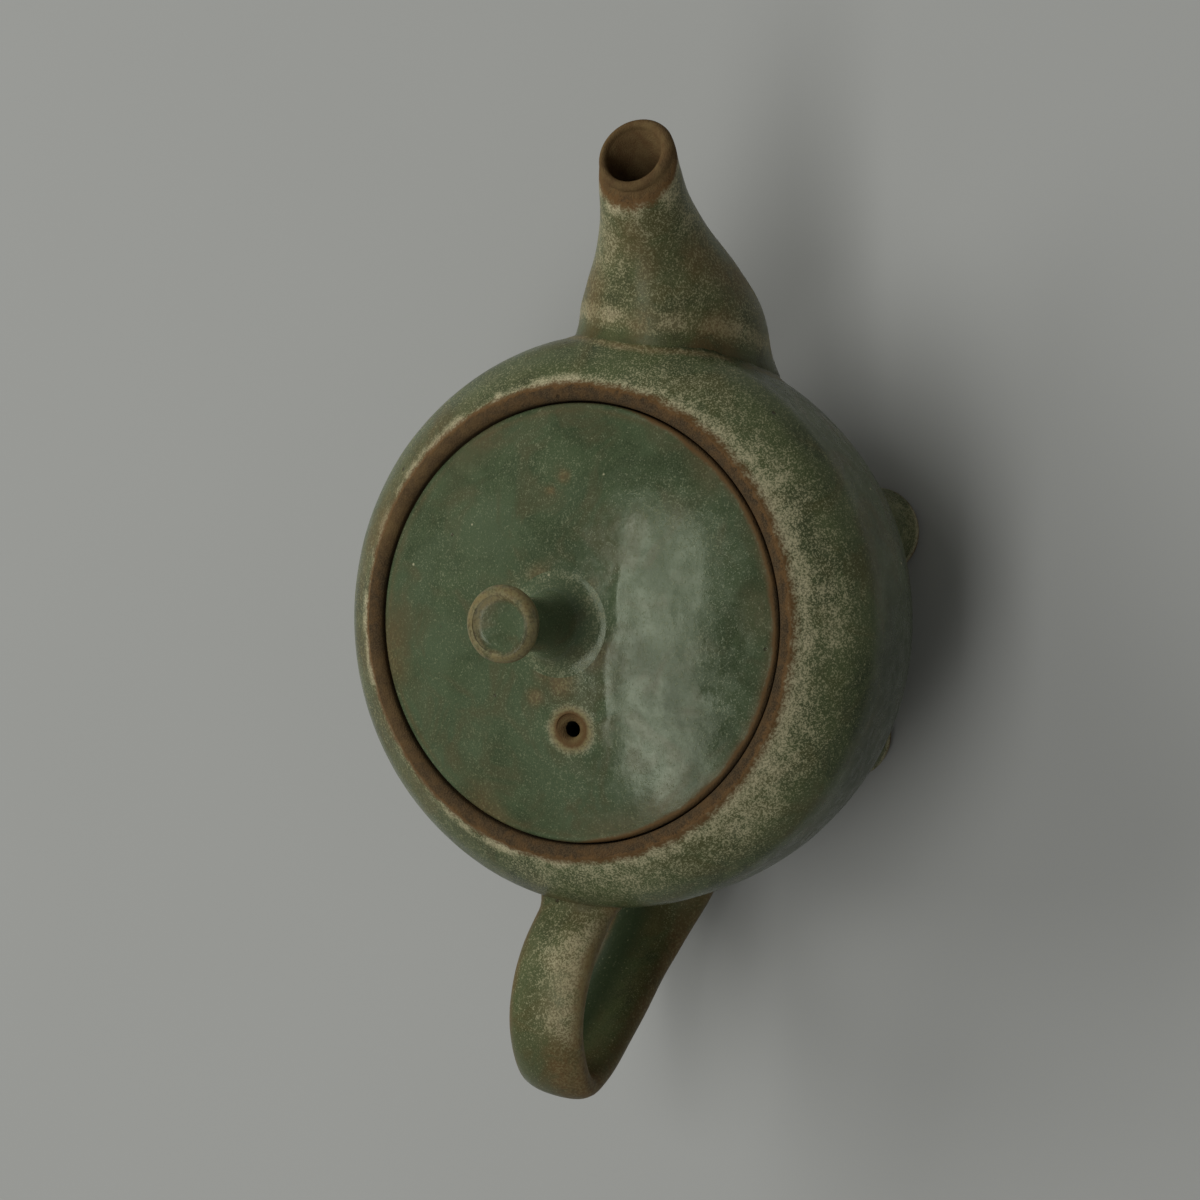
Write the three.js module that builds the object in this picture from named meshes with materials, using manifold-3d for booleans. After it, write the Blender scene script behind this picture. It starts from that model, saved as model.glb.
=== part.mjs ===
// A small round teapot of green-glazed stoneware, with a spout, a back handle, four stub feet and a
// lift-off lid. Millimetres, +Z up. The origin is on the pot's axis at the table, +X points to the
// spout and the handle is towards -X.

import * as THREE from 'three'
import { mergeVertices } from 'three/addons/utils/BufferGeometryUtils.js'
import Module from 'manifold-3d'

const wasm = await Module()
wasm.setup()

// Body: a squat thrown round, an ellipse above its widest line and a fuller curve below it. A shallow
// base and the wall above it are thrown apart and luted at the base's height.
const BODY_RADIUS = 45
const EQUATOR_HEIGHT = 41.5
const SHOULDER_RISE = 21.2
const BELLY_DROP = 35.5
const BELLY_FULLNESS = 3.4
const WALL = 3.5
const FLOOR_THICKNESS = 4
const BASE_HEIGHT = 18.6

// Mouth: a bare clay ring round the lid, with a ledge inside that carries the lid.
const MOUTH_RADIUS = 33.8
const RING_WIDTH = 2.8
const RING_RISE = 0.9
const LEDGE_DEPTH = 3.6
const LEDGE_WIDTH = 4.3
const LEDGE_THICKNESS = 3

// Lid: a low dome with a vent hole, a locating ring below it and a knob on top.
const LID_CLEARANCE = 0.3
const LID_RISE = 5.8
const LID_THICKNESS = 3.6
const LID_EDGE_ROUND = 1
const FLANGE_CLEARANCE = 0.4
const FLANGE_WALL = 2.4
const FLANGE_DEPTH = 7
const FLANGE_SETBACK = 0.8
const VENT_RADIUS = 1.15
const VENT_MOUTH_RADIUS = 2.4
const VENT_MOUTH_DEPTH = 1.3
const VENT_OFFSET = 16
const VENT_ANGLE = 194

// Knob: a thin waist between a flared root and a dished button.
const KNOB_HEIGHT = 17.4
const KNOB_RADIUS = 5.8
const KNOB_BUTTON_THICKNESS = 3
const KNOB_WAIST_RADIUS = 4.1
const KNOB_NECK_FLARE = 1.5
const KNOB_ROOT_RADIUS = 6.6
const KNOB_ROOT_EDGE = 0.4
const KNOB_DISH_RADIUS = 4.5
const KNOB_DISH_DEPTH = 0.7
const KNOB_DISH_SLOPE = 0.8

// Spout: its middle line is one cubic curve, and its round sections lean back towards the lip. Each
// point is a reach past the body's widest line and a height above it.
const SPOUT_ROOT = new THREE.Vector2(-5, -13.5)
const SPOUT_ROOT_PULL = new THREE.Vector2(7.2, 2.2)
const SPOUT_TIP = new THREE.Vector2(26.2, 12.7)
const SPOUT_TIP_PULL = new THREE.Vector2(-3.1, -0.5)
const SPOUT_BURIED = 12
const SPOUT_ROOT_RADIUS = 15.7
const SPOUT_TIP_RADIUS = 6.1
const SPOUT_ROOT_WALL = 3.5
const SPOUT_TIP_WALL = 1.7
const SPOUT_ROOT_LEAN = 4
const SPOUT_TIP_LEAN = 70
const SPOUT_TAPER_START = 0.11
const SPOUT_TAPER_END = 0.8

// Strainer: a pierced thimble in a round hole of the body wall, behind the spout. Its holes lie in
// rings that are a fixed turn apart, with this many in each.
const STRAINER_RADIUS = 8.7
const STRAINER_WALL = 1.8
const STRAINER_BULGE = 6.5
const STRAINER_DROP = 11
const STRAINER_SETBACK = 0.5
const STRAINER_HOLE_RADIUS = 1.1
const STRAINER_HOLES_PER_RING = [1, 6, 12]
const STRAINER_RING_TURN = 33

// Handle: a flat strap along a curve through these points, each a reach past the body's widest line
// and a height above it. It spreads where it is pressed on to the body, and thickens there by a
// share of that spread.
const HANDLE_ROUTE = [
  [-4, -2.5], [1.8, 1.2], [8, 5.3], [16.3, 6.6], [23.9, 3.8], [29.4, -1.6], [27.8, -6.6],
  [22.1, -13.8], [15.1, -21.3], [8.4, -27.6], [2.2, -30.2], [-4, -29.8], [-17, -24],
]
const HANDLE_WIDTH = 11.9
const HANDLE_THICKNESS = 5.3
const HANDLE_TOP_SPREAD = 1.5
const HANDLE_TOP_ROOT = 7
const HANDLE_LOW_SPREAD = 9
const HANDLE_LOW_ROOT = 12
const HANDLE_SPREAD_SHARE = 0.33
const HANDLE_ROUNDNESS = 2.8

// Feet: tapered stubs at the corners of a rectangle, with flat toes on the table.
const FOOT_SPACING_ALONG = 36
const FOOT_SPACING_ACROSS = 57
const FOOT_SHIFT_ALONG = 2
const FOOT_TOE_RADIUS = 5.6
const FOOT_TOE_ROUND = 1.6
const FOOT_TOE_TRIM = 0.5
const FOOT_WAIST_RADIUS = 6.3
const FOOT_WAIST_HEIGHT = 8
const FOOT_ROOT_RADIUS = 8
const FOOT_LENGTH = 20
const FOOT_SPLAY = 6

// Pieces that are luted to the body keep this gap to it.
const SEAM = 0.3

// How finely round shapes are cut into flats, round an axis and along a profile.
const BODY_SIDES = 56
const SPOUT_SIDES = 24
const HANDLE_SIDES = 16
const KNOB_SIDES = 28
const STRAINER_SIDES = 16
const FOOT_SIDES = 16
const VENT_SIDES = 16
const HOLE_SIDES = 8
const BELLY_STEPS = 13
const INNER_BELLY_STEPS = 9
const SHOULDER_STEPS = 7
const INNER_SHOULDER_STEPS = 3
const LID_STEPS = 7
const HOLLOW_STEPS = 4
const SPOUT_STEPS = 14
const HANDLE_STEPS = 34
const ROUND_STEPS = 6
const CORNER_STEPS = 4

const GLAZE_ROUGHNESS = 0.35
const CLAY_ROUGHNESS = 0.85
const colours = {
  glaze: 0x59684a,
  lidGlaze: 0x4c6350,
  clay: 0x6e5641,
}

// What the named sizes above make of the mouth, the inside and the lid.
const ringOuterRadius = MOUTH_RADIUS + RING_WIDTH
const rimHeight = EQUATOR_HEIGHT + shoulderHeight(ringOuterRadius, BODY_RADIUS, SHOULDER_RISE)
const seatHeight = rimHeight - LEDGE_DEPTH
const ledgeRadius = MOUTH_RADIUS - LEDGE_WIDTH
const ledgeUnderside = seatHeight - LEDGE_THICKNESS
const innerRadius = BODY_RADIUS - WALL
const innerRise = SHOULDER_RISE - WALL
const innerDrop = BELLY_DROP - FLOOR_THICKNESS
const strainerHeight = EQUATOR_HEIGHT - STRAINER_DROP
const lidRadius = MOUTH_RADIUS - LID_CLEARANCE
const lidTop = rimHeight + LID_RISE
const flangeOuter = ledgeRadius - FLANGE_CLEARANCE
const flangeInner = flangeOuter - FLANGE_WALL

// Makes one closed, outward-facing geometry of a mesh with shared points and no empty faces.
function closed(geometry) {
  const bare = geometry.clone()
  bare.deleteAttribute('normal')
  bare.deleteAttribute('uv')
  const merged = mergeVertices(bare, 1e-4)
  const index = merged.index.array
  const position = merged.attributes.position
  const a = new THREE.Vector3()
  const b = new THREE.Vector3()
  const c = new THREE.Vector3()
  const faces = []
  let volume = 0
  for (let i = 0; i < index.length; i += 3) {
    const [p, q, r] = [index[i], index[i + 1], index[i + 2]]
    if (p === q || q === r || r === p) continue
    a.fromBufferAttribute(position, p)
    b.fromBufferAttribute(position, q)
    c.fromBufferAttribute(position, r)
    volume += a.dot(b.cross(c))
    faces.push([p, q, r])
  }
  const outward = volume > 0 ? faces : faces.map(([p, q, r]) => [p, r, q])
  merged.setIndex(outward.flat())
  return merged
}

function toSolid(geometry) {
  const mesh = closed(geometry)
  return new wasm.Manifold(new wasm.Mesh({
    numProp: 3,
    vertProperties: new Float32Array(mesh.attributes.position.array),
    triVerts: new Uint32Array(mesh.index.array),
  }))
}

function toGeometry(solid) {
  const mesh = solid.getMesh()
  const geometry = new THREE.BufferGeometry()
  geometry.setAttribute('position', new THREE.BufferAttribute(mesh.vertProperties, 3))
  geometry.setIndex(new THREE.BufferAttribute(mesh.triVerts, 1))
  return geometry
}

// Turns a profile of [radius, height] points round the Z axis.
function revolve(profile, sides) {
  const points = profile.map(([radius, height]) => new THREE.Vector2(radius, height))
  const lathe = new THREE.LatheGeometry(points, sides)
  lathe.rotateX(Math.PI / 2)
  return closed(lathe)
}

// An upright rod of a bottom and a top radius, with its middle at the origin.
function uprightRod(bottomRadius, topRadius, length, sides) {
  const rod = new THREE.CylinderGeometry(topRadius, bottomRadius, length, sides)
  rod.rotateX(Math.PI / 2)
  return rod
}

// Joins rings of equally many points into a closed skin with flat ends.
function skin(rings) {
  const sides = rings[0].length
  const middle = (ring) => ring.reduce((sum, point) => sum.add(point), new THREE.Vector3())
    .divideScalar(sides)
  const last = rings.length - 1
  const points = [...rings.flat(), middle(rings[0]), middle(rings[last])]
  const firstCentre = rings.length * sides
  const faces = []
  for (let side = 0; side < sides; side++) {
    const next = (side + 1) % sides
    faces.push(firstCentre, side, next)
    faces.push(firstCentre + 1, last * sides + next, last * sides + side)
    for (let ring = 0; ring < last; ring++) {
      const low = ring * sides
      const high = low + sides
      faces.push(low + side, high + side, high + next)
      faces.push(low + side, high + next, low + next)
    }
  }
  const geometry = new THREE.BufferGeometry().setFromPoints(points)
  geometry.setIndex(faces)
  return closed(geometry)
}

// Points of an arc from one angle to another, in degrees, both ends included.
function arc(centre, radii, from, to, steps) {
  return Array.from({ length: steps + 1 }, (_, step) => {
    const angle = THREE.MathUtils.degToRad(from + (to - from) * step / steps)
    return [centre[0] + radii[0] * Math.cos(angle), centre[1] + radii[1] * Math.sin(angle)]
  })
}

// Height above the widest line of the shoulder ellipse at a radius.
function shoulderHeight(radius, wide, rise) {
  return rise * Math.sqrt(1 - (radius / wide) ** 2)
}

// Belly points from the floor's centre up to the widest line.
function belly(wide, drop, steps) {
  return Array.from({ length: steps + 1 }, (_, step) => {
    const angle = Math.PI / 2 * (step / steps)
    const power = 2 / BELLY_FULLNESS
    return [wide * Math.sin(angle) ** power, EQUATOR_HEIGHT - drop * Math.cos(angle) ** power]
  })
}

// Shoulder points from just above the widest line up to an end radius.
function shoulder(wide, rise, endRadius, steps) {
  const end = THREE.MathUtils.radToDeg(Math.acos(endRadius / wide))
  return arc([0, EQUATOR_HEIGHT], [wide, rise], 0, end, steps).slice(1)
}

// The body's outside as a filled solid, grown by a gap, which trims what is luted to it.
function bodyFilled(gap) {
  const side = [
    ...belly(BODY_RADIUS + gap, BELLY_DROP + gap, BELLY_STEPS),
    ...shoulder(BODY_RADIUS + gap, SHOULDER_RISE + gap, ringOuterRadius, SHOULDER_STEPS),
    [0, rimHeight + gap],
  ]
  return toSolid(revolve(side, BODY_SIDES))
}

// The pot's whole shell, before its base and its wall are told apart.
function potShell() {
  const ringMiddle = [MOUTH_RADIUS + RING_WIDTH / 2, rimHeight]
  const innerTop = innerRadius * Math.sqrt(1 - ((ledgeUnderside - EQUATOR_HEIGHT) / innerRise) ** 2)
  const outside = [
    ...belly(BODY_RADIUS, BELLY_DROP, BELLY_STEPS),
    ...shoulder(BODY_RADIUS, SHOULDER_RISE, ringOuterRadius, SHOULDER_STEPS),
  ]
  const lip = arc(ringMiddle, [RING_WIDTH / 2, RING_RISE], 0, 180, ROUND_STEPS).slice(1)
  const ledge = [[MOUTH_RADIUS, seatHeight], [ledgeRadius, seatHeight], [ledgeRadius, ledgeUnderside]]
  const inside = [
    ...belly(innerRadius, innerDrop, INNER_BELLY_STEPS),
    ...shoulder(innerRadius, innerRise, innerTop, INNER_SHOULDER_STEPS),
  ].reverse()
  return toSolid(revolve([...outside, ...lip, ...ledge, ...inside], BODY_SIDES))
}

// The shallow base, which carries the feet.
function potBase() {
  return toGeometry(potShell().trimByPlane([0, 0, -1], SEAM / 2 - BASE_HEIGHT))
}

// The wall, shoulder and mouth, with a round hole through the wall for the strainer.
function potBody() {
  const bore = uprightRod(STRAINER_RADIUS + SEAM, STRAINER_RADIUS + SEAM, BODY_RADIUS, STRAINER_SIDES)
  bore.rotateY(Math.PI / 2)
  bore.translate(BODY_RADIUS, 0, strainerHeight)
  const wall = potShell().trimByPlane([0, 0, 1], BASE_HEIGHT + SEAM / 2)
  return toGeometry(wall.subtract(toSolid(bore)))
}

// The pierced thimble: its skirt fills the body's hole and its dome stands into the pot.
function strainer() {
  const domeFoot = innerRadius - STRAINER_SETBACK
  const skirt = BODY_RADIUS - domeFoot
  const inner = STRAINER_RADIUS - STRAINER_WALL
  const profile = [
    [inner, -skirt],
    [STRAINER_RADIUS, -skirt],
    ...arc([0, 0], [STRAINER_RADIUS, STRAINER_BULGE], 0, 90, ROUND_STEPS),
    ...arc([0, 0], [inner, STRAINER_BULGE - STRAINER_WALL], 90, 0, ROUND_STEPS),
    [inner, -skirt],
  ]
  let thimble = toSolid(revolve(profile, STRAINER_SIDES))
  STRAINER_HOLES_PER_RING.forEach((count, ring) => {
    for (let hole = 0; hole < count; hole++) {
      const drill = uprightRod(STRAINER_HOLE_RADIUS, STRAINER_HOLE_RADIUS, 2 * STRAINER_RADIUS, HOLE_SIDES)
      drill.translate(0, 0, STRAINER_RADIUS)
      drill.rotateX(THREE.MathUtils.degToRad(ring * STRAINER_RING_TURN))
      drill.rotateZ(2 * Math.PI * hole / count)
      thimble = thimble.subtract(toSolid(drill))
    }
  })
  const placed = toGeometry(thimble)
  placed.rotateY(-Math.PI / 2)
  placed.translate(domeFoot, 0, strainerHeight)
  return toGeometry(toSolid(placed).intersect(bodyFilled(-SEAM)))
}

// One round section of the spout, leaning back more as the spout rises.
function spoutRing(curve, along, radius) {
  const centre = curve.getPoint(along)
  const lean = THREE.MathUtils.degToRad(THREE.MathUtils.lerp(
    SPOUT_ROOT_LEAN, SPOUT_TIP_LEAN, THREE.MathUtils.smoothstep(along, 0, 1)))
  const rise = new THREE.Vector3(-Math.sin(lean), 0, Math.cos(lean))
  return Array.from({ length: SPOUT_SIDES }, (_, side) => {
    const angle = 2 * Math.PI * side / SPOUT_SIDES
    return new THREE.Vector3(
      BODY_RADIUS + centre.x, radius * Math.sin(angle), EQUATOR_HEIGHT + centre.y)
      .addScaledVector(rise, radius * Math.cos(angle))
  })
}

// The hollow spout. Hull and channel both start inside the body, and the channel runs out past the
// lip by one wall.
function spout() {
  const curve = new THREE.CubicBezierCurve(
    SPOUT_ROOT,
    SPOUT_ROOT.clone().add(SPOUT_ROOT_PULL),
    SPOUT_TIP.clone().add(SPOUT_TIP_PULL),
    SPOUT_TIP)
  const hull = []
  const channel = []
  for (let step = 0; step <= SPOUT_STEPS; step++) {
    const along = step / SPOUT_STEPS
    const taper = THREE.MathUtils.smoothstep(along, SPOUT_TAPER_START, SPOUT_TAPER_END)
    const radius = THREE.MathUtils.lerp(SPOUT_ROOT_RADIUS, SPOUT_TIP_RADIUS, taper)
    const wall = THREE.MathUtils.lerp(SPOUT_ROOT_WALL, SPOUT_TIP_WALL, taper)
    hull.push(spoutRing(curve, along, radius))
    channel.push(spoutRing(curve, along, radius - wall))
  }
  const buried = new THREE.Vector3(-SPOUT_BURIED, 0, 0)
  hull.unshift(hull[0].map((point) => point.clone().add(buried)))
  channel.unshift(channel[0].map((point) => point.clone().add(buried)))
  const tipLean = THREE.MathUtils.degToRad(SPOUT_TIP_LEAN)
  const outward = new THREE.Vector3(Math.cos(tipLean), 0, Math.sin(tipLean))
  channel.push(channel.at(-1).map((point) => point.clone().addScaledVector(outward, SPOUT_TIP_WALL)))
  return toGeometry(toSolid(skin(hull)).subtract(toSolid(skin(channel))).subtract(bodyFilled(SEAM)))
}

// One rounded flat section of the handle, square to its curve and in the curve's upright plane.
function strapRing(centre, tangent, width, thickness) {
  const outward = new THREE.Vector3(-tangent.z, 0, tangent.x)
  const power = 2 / HANDLE_ROUNDNESS
  return Array.from({ length: HANDLE_SIDES }, (_, side) => {
    const angle = 2 * Math.PI * (side + 0.5) / HANDLE_SIDES
    const across = Math.sign(Math.cos(angle)) * Math.abs(Math.cos(angle)) ** power
    const through = Math.sign(Math.sin(angle)) * Math.abs(Math.sin(angle)) ** power
    return centre.clone()
      .addScaledVector(outward, through * thickness / 2)
      .add(new THREE.Vector3(0, across * width / 2, 0))
  })
}

function handle() {
  const route = HANDLE_ROUTE.map(
    ([reach, height]) => new THREE.Vector3(-BODY_RADIUS - reach, 0, EQUATOR_HEIGHT + height))
  const curve = new THREE.CatmullRomCurve3(route, false, 'centripetal')
  const length = curve.getLength()
  const rings = []
  for (let step = 0; step <= HANDLE_STEPS; step++) {
    const along = step / HANDLE_STEPS
    const fromTop = along * length / HANDLE_TOP_ROOT
    const fromLow = (1 - along) * length / HANDLE_LOW_ROOT
    const spread = HANDLE_TOP_SPREAD * Math.exp(-(fromTop ** 2))
      + HANDLE_LOW_SPREAD * Math.exp(-(fromLow ** 2))
    rings.push(strapRing(curve.getPointAt(along), curve.getTangentAt(along),
      HANDLE_WIDTH + spread, HANDLE_THICKNESS + spread * HANDLE_SPREAD_SHARE))
  }
  return toGeometry(toSolid(skin(rings)).subtract(bodyFilled(SEAM)))
}

// A stub that leans outwards from the belly, with its toe cut flat at the table.
function foot(alongSign, acrossSign) {
  const toeCentre = [FOOT_TOE_RADIUS - FOOT_TOE_ROUND, FOOT_TOE_ROUND - FOOT_TOE_TRIM]
  const profile = [
    [0, -FOOT_TOE_TRIM],
    ...arc(toeCentre, [FOOT_TOE_ROUND, FOOT_TOE_ROUND], -90, 0, CORNER_STEPS),
    [FOOT_WAIST_RADIUS, FOOT_WAIST_HEIGHT],
    [FOOT_ROOT_RADIUS, FOOT_LENGTH],
    [0, FOOT_LENGTH],
  ]
  const stub = revolve(profile, FOOT_SIDES)
  const place = new THREE.Vector3(
    FOOT_SHIFT_ALONG + alongSign * FOOT_SPACING_ALONG / 2, acrossSign * FOOT_SPACING_ACROSS / 2, 0)
  const towardsAxis = place.clone().negate().normalize()
  const tilt = new THREE.Vector3(0, 0, 1).cross(towardsAxis).normalize()
  stub.applyQuaternion(new THREE.Quaternion().setFromAxisAngle(
    tilt, THREE.MathUtils.degToRad(FOOT_SPLAY)))
  stub.translate(place.x, place.y, 0)
  const table = new THREE.BoxGeometry(BODY_RADIUS, BODY_RADIUS, FOOT_LENGTH)
  table.translate(place.x, place.y, -FOOT_LENGTH / 2)
  return toGeometry(toSolid(stub).subtract(toSolid(table)).subtract(bodyFilled(SEAM)))
}

// Height of the lid's domed top at a radius, a cap of a large ball.
function lidTopHeight(radius) {
  const ball = (lidRadius ** 2 + LID_RISE ** 2) / (2 * LID_RISE)
  return lidTop - ball + Math.sqrt(ball ** 2 - radius ** 2)
}

// Points along the lid's dome from one radius to another, lowered by a depth.
function lidCurve(from, to, depth, steps) {
  return Array.from({ length: steps + 1 }, (_, step) => {
    const radius = THREE.MathUtils.lerp(from, to, step / steps)
    return [radius, lidTopHeight(radius) - depth]
  })
}

// The lid's plate, hollow inside its locating ring, with a vent whose mouth is sunk.
function lidDome() {
  const edge = lidRadius - LID_EDGE_ROUND
  const edgeCentre = [edge, lidTopHeight(edge) - LID_EDGE_ROUND]
  const hollowRadius = flangeInner - FLANGE_SETBACK
  const profile = [
    ...lidCurve(0, hollowRadius, LID_THICKNESS, HOLLOW_STEPS),
    [hollowRadius, seatHeight],
    [lidRadius, seatHeight],
    ...arc(edgeCentre, [LID_EDGE_ROUND, LID_EDGE_ROUND], 0, 90, CORNER_STEPS),
    ...lidCurve(edge, 0, 0, LID_STEPS).slice(1),
  ]
  const plate = toSolid(revolve(profile, BODY_SIDES))
  const hole = uprightRod(VENT_RADIUS, VENT_RADIUS, 4 * LID_THICKNESS, VENT_SIDES)
  const widened = 2 * VENT_MOUTH_RADIUS - VENT_RADIUS
  const sink = uprightRod(VENT_RADIUS, widened, 2 * VENT_MOUTH_DEPTH, VENT_SIDES)
  const angle = THREE.MathUtils.degToRad(VENT_ANGLE)
  const vent = toSolid(hole).add(toSolid(sink)).translate([
    VENT_OFFSET * Math.cos(angle), VENT_OFFSET * Math.sin(angle), lidTopHeight(VENT_OFFSET)])
  return toGeometry(plate.subtract(vent))
}

function lidFlange() {
  const round = FLANGE_WALL / 2
  const middle = [flangeInner + round, seatHeight - FLANGE_DEPTH + round]
  const profile = [
    [flangeInner, seatHeight],
    ...arc(middle, [round, round], 180, 360, CORNER_STEPS),
    [flangeOuter, seatHeight],
    [flangeInner, seatHeight],
  ]
  return revolve(profile, BODY_SIDES)
}

// The knob, whose underside follows the lid's dome.
function lidKnob() {
  const rootHeight = lidTopHeight(KNOB_ROOT_RADIUS) + SEAM
  const rootRise = KNOB_ROOT_RADIUS - KNOB_WAIST_RADIUS
  const rootCentre = [KNOB_ROOT_RADIUS, rootHeight + KNOB_ROOT_EDGE + rootRise]
  const top = lidTop + KNOB_HEIGHT
  const underside = top - KNOB_BUTTON_THICKNESS
  const rim = KNOB_BUTTON_THICKNESS / 2
  const rimRadius = KNOB_RADIUS - rim
  const neck = [rimRadius - KNOB_WAIST_RADIUS, KNOB_NECK_FLARE]
  const profile = [
    [0, lidTop + SEAM],
    [KNOB_ROOT_RADIUS, rootHeight],
    ...arc(rootCentre, [rootRise, rootRise], 270, 180, CORNER_STEPS),
    ...arc([rimRadius, underside - KNOB_NECK_FLARE], neck, 180, 90, CORNER_STEPS),
    ...arc([rimRadius, underside + rim], [rim, rim], -90, 90, ROUND_STEPS).slice(1),
    [KNOB_DISH_RADIUS - KNOB_DISH_SLOPE, top - KNOB_DISH_DEPTH],
    [0, top - KNOB_DISH_DEPTH],
  ]
  return revolve(profile, KNOB_SIDES)
}

function piece(name, geometry, colour, roughness) {
  const material = new THREE.MeshStandardMaterial({ color: colour, roughness, metalness: 0 })
  const mesh = new THREE.Mesh(geometry, material)
  mesh.name = name
  return mesh
}

const pot = new THREE.Group()
pot.add(
  piece('pot_base', potBase(), colours.glaze, GLAZE_ROUGHNESS),
  piece('pot_body', potBody(), colours.glaze, GLAZE_ROUGHNESS),
  piece('spout', spout(), colours.glaze, GLAZE_ROUGHNESS),
  piece('handle', handle(), colours.glaze, GLAZE_ROUGHNESS),
  piece('strainer', strainer(), colours.clay, CLAY_ROUGHNESS),
)
const corners = [[1, -1], [-1, -1], [1, 1], [-1, 1]]
corners.forEach(([alongSign, acrossSign], index) => {
  pot.add(piece(`foot_${index + 1}`, foot(alongSign, acrossSign), colours.glaze, GLAZE_ROUGHNESS))
})

const lid = new THREE.Group()
lid.add(
  piece('lid_dome', lidDome(), colours.lidGlaze, GLAZE_ROUGHNESS),
  piece('lid_flange', lidFlange(), colours.clay, CLAY_ROUGHNESS),
  piece('lid_knob', lidKnob(), colours.lidGlaze, GLAZE_ROUGHNESS),
)

const teapot = new THREE.Group()
teapot.add(pot, lid)

export default teapot
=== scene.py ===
"""The looks of a small round teapot of green ash-glazed stoneware, seen steeply from above."""

import logging
import math
from dataclasses import dataclass, field, replace
from enum import Enum
from functools import cached_property
from itertools import pairwise
from typing import Callable, Iterable, Sequence, TypeVar

import bpy
from mathutils import Matrix, Vector, noise


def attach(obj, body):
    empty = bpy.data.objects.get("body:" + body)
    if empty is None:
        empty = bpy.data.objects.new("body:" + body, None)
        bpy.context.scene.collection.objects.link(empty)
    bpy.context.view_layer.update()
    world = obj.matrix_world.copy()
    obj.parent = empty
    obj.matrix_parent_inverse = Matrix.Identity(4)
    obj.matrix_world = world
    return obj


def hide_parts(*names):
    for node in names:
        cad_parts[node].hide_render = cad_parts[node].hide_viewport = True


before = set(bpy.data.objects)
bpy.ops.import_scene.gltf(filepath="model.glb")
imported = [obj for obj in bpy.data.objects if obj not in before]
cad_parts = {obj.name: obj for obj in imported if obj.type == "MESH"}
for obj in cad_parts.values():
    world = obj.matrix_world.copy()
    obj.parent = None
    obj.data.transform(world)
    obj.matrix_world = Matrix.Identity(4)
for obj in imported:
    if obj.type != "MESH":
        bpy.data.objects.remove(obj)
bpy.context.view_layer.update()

Point = tuple[float, float]
Span = tuple[float, float, float, float]
Piece = bpy.types.Object
Node = bpy.types.Node
Socket = bpy.types.NodeSocket
Feeds = dict | Sequence
Measure = Callable[[Vector, Vector], float]
Amount = TypeVar("Amount", float, Vector)

logging.basicConfig(level=logging.INFO, format="%(message)s")
log = logging.getLogger("teapot")

MM = 0.001
PHOTO_WIDTH = 1200

# How finely round forms are cut, and the gap in millimetres under which points are one.
ROUND_SIDES = 160
BODY_SIDES = 320
WELD = 0.002

# How deep under the pot's skin the roots of luted pieces end, in millimetres.
LUTING_DEPTH = 1.6
FOOT_PLACES = ((18.2, -27.6), (-16, -27.6), (18.2, 27.6), (-16, 27.6))

# The three painted measures that every stoneware piece carries for its finish, and the distance
# from the glaze's edge that means bare clay, or glaze all over.
EDGE = "glaze_edge_mm"
THIN = "glaze_thin"
BLOOM = "glaze_bloom"
BARE = -3.0
GLAZED = 12.0

# The kinds of node that repeat in a finish, and their settings.
NOISE = "ShaderNodeTexNoise"
SPOTS = "ShaderNodeTexVoronoi"
RAMP = "ShaderNodeMapRange"
MATHS = "ShaderNodeMath"
MIX = "ShaderNodeMix"
SMOOTH = {"interpolation_type": "SMOOTHSTEP"}
TINTS = {"data_type": "RGBA"}


class Slot(Enum):
    """The record's material slots."""

    POT = "green_glaze"
    LID = "lid_glaze"
    CLAY = "bare_clay"


class Body(Enum):
    """The record's moving bodies."""

    POT = "pot"
    LID = "lid"


def mm(value: float) -> float:
    """Turns millimetres into metres."""
    return value * MM


def in_mm(point: Vector) -> tuple[float, float, float]:
    """Turns a point in metres into millimetres."""
    return point.x / MM, point.y / MM, point.z / MM


def blend(low: float, high: float, share: float) -> float:
    """Goes from one value to another by a share."""
    return low + (high - low) * share


def ease(low: float, high: float, value: float) -> float:
    """Rises smoothly from 0 at low to 1 at high."""
    share = min(1.0, max(0.0, (value - low) / (high - low)))
    return share * share * (3 - 2 * share)


def band(span: Span, value: float) -> float:
    """Rises from 0 to 1 over a span's first two values, and falls again over its last two."""
    return ease(span[0], span[1], value) * ease(span[3], span[2], value)


def ease_curve(start: Amount, out: Amount, end: Amount, into: Amount, share: float) -> Amount:
    """Follows a cubic curve between two values.

    Args:
        start: value at the start.
        out: how fast it leaves there.
        end: value at the end.
        into: how fast it comes in there.
        share: how far along the curve, from 0 to 1.

    Returns:
        The value there.
    """
    return (start * (2 * share ** 3 - 3 * share ** 2 + 1) + out * (share ** 3 - 2 * share ** 2 + share)
            + end * (3 * share ** 2 - 2 * share ** 3) + into * (share ** 3 - share ** 2))


def arc(centre: Point, radii: Point, start: float, end: float, steps: int) -> list[Point]:
    """Points of an arc, both ends included.

    Args:
        centre: middle of the arc.
        radii: its two half axes.
        start: first angle in degrees.
        end: last angle in degrees.
        steps: how many stretches it is cut into.

    Returns:
        The points, as (radius, height).
    """
    points = []
    for step in range(steps + 1):
        angle = math.radians(blend(start, end, step / steps))
        points.append((centre[0] + radii[0] * math.cos(angle), centre[1] + radii[1] * math.sin(angle)))
    return points


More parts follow.
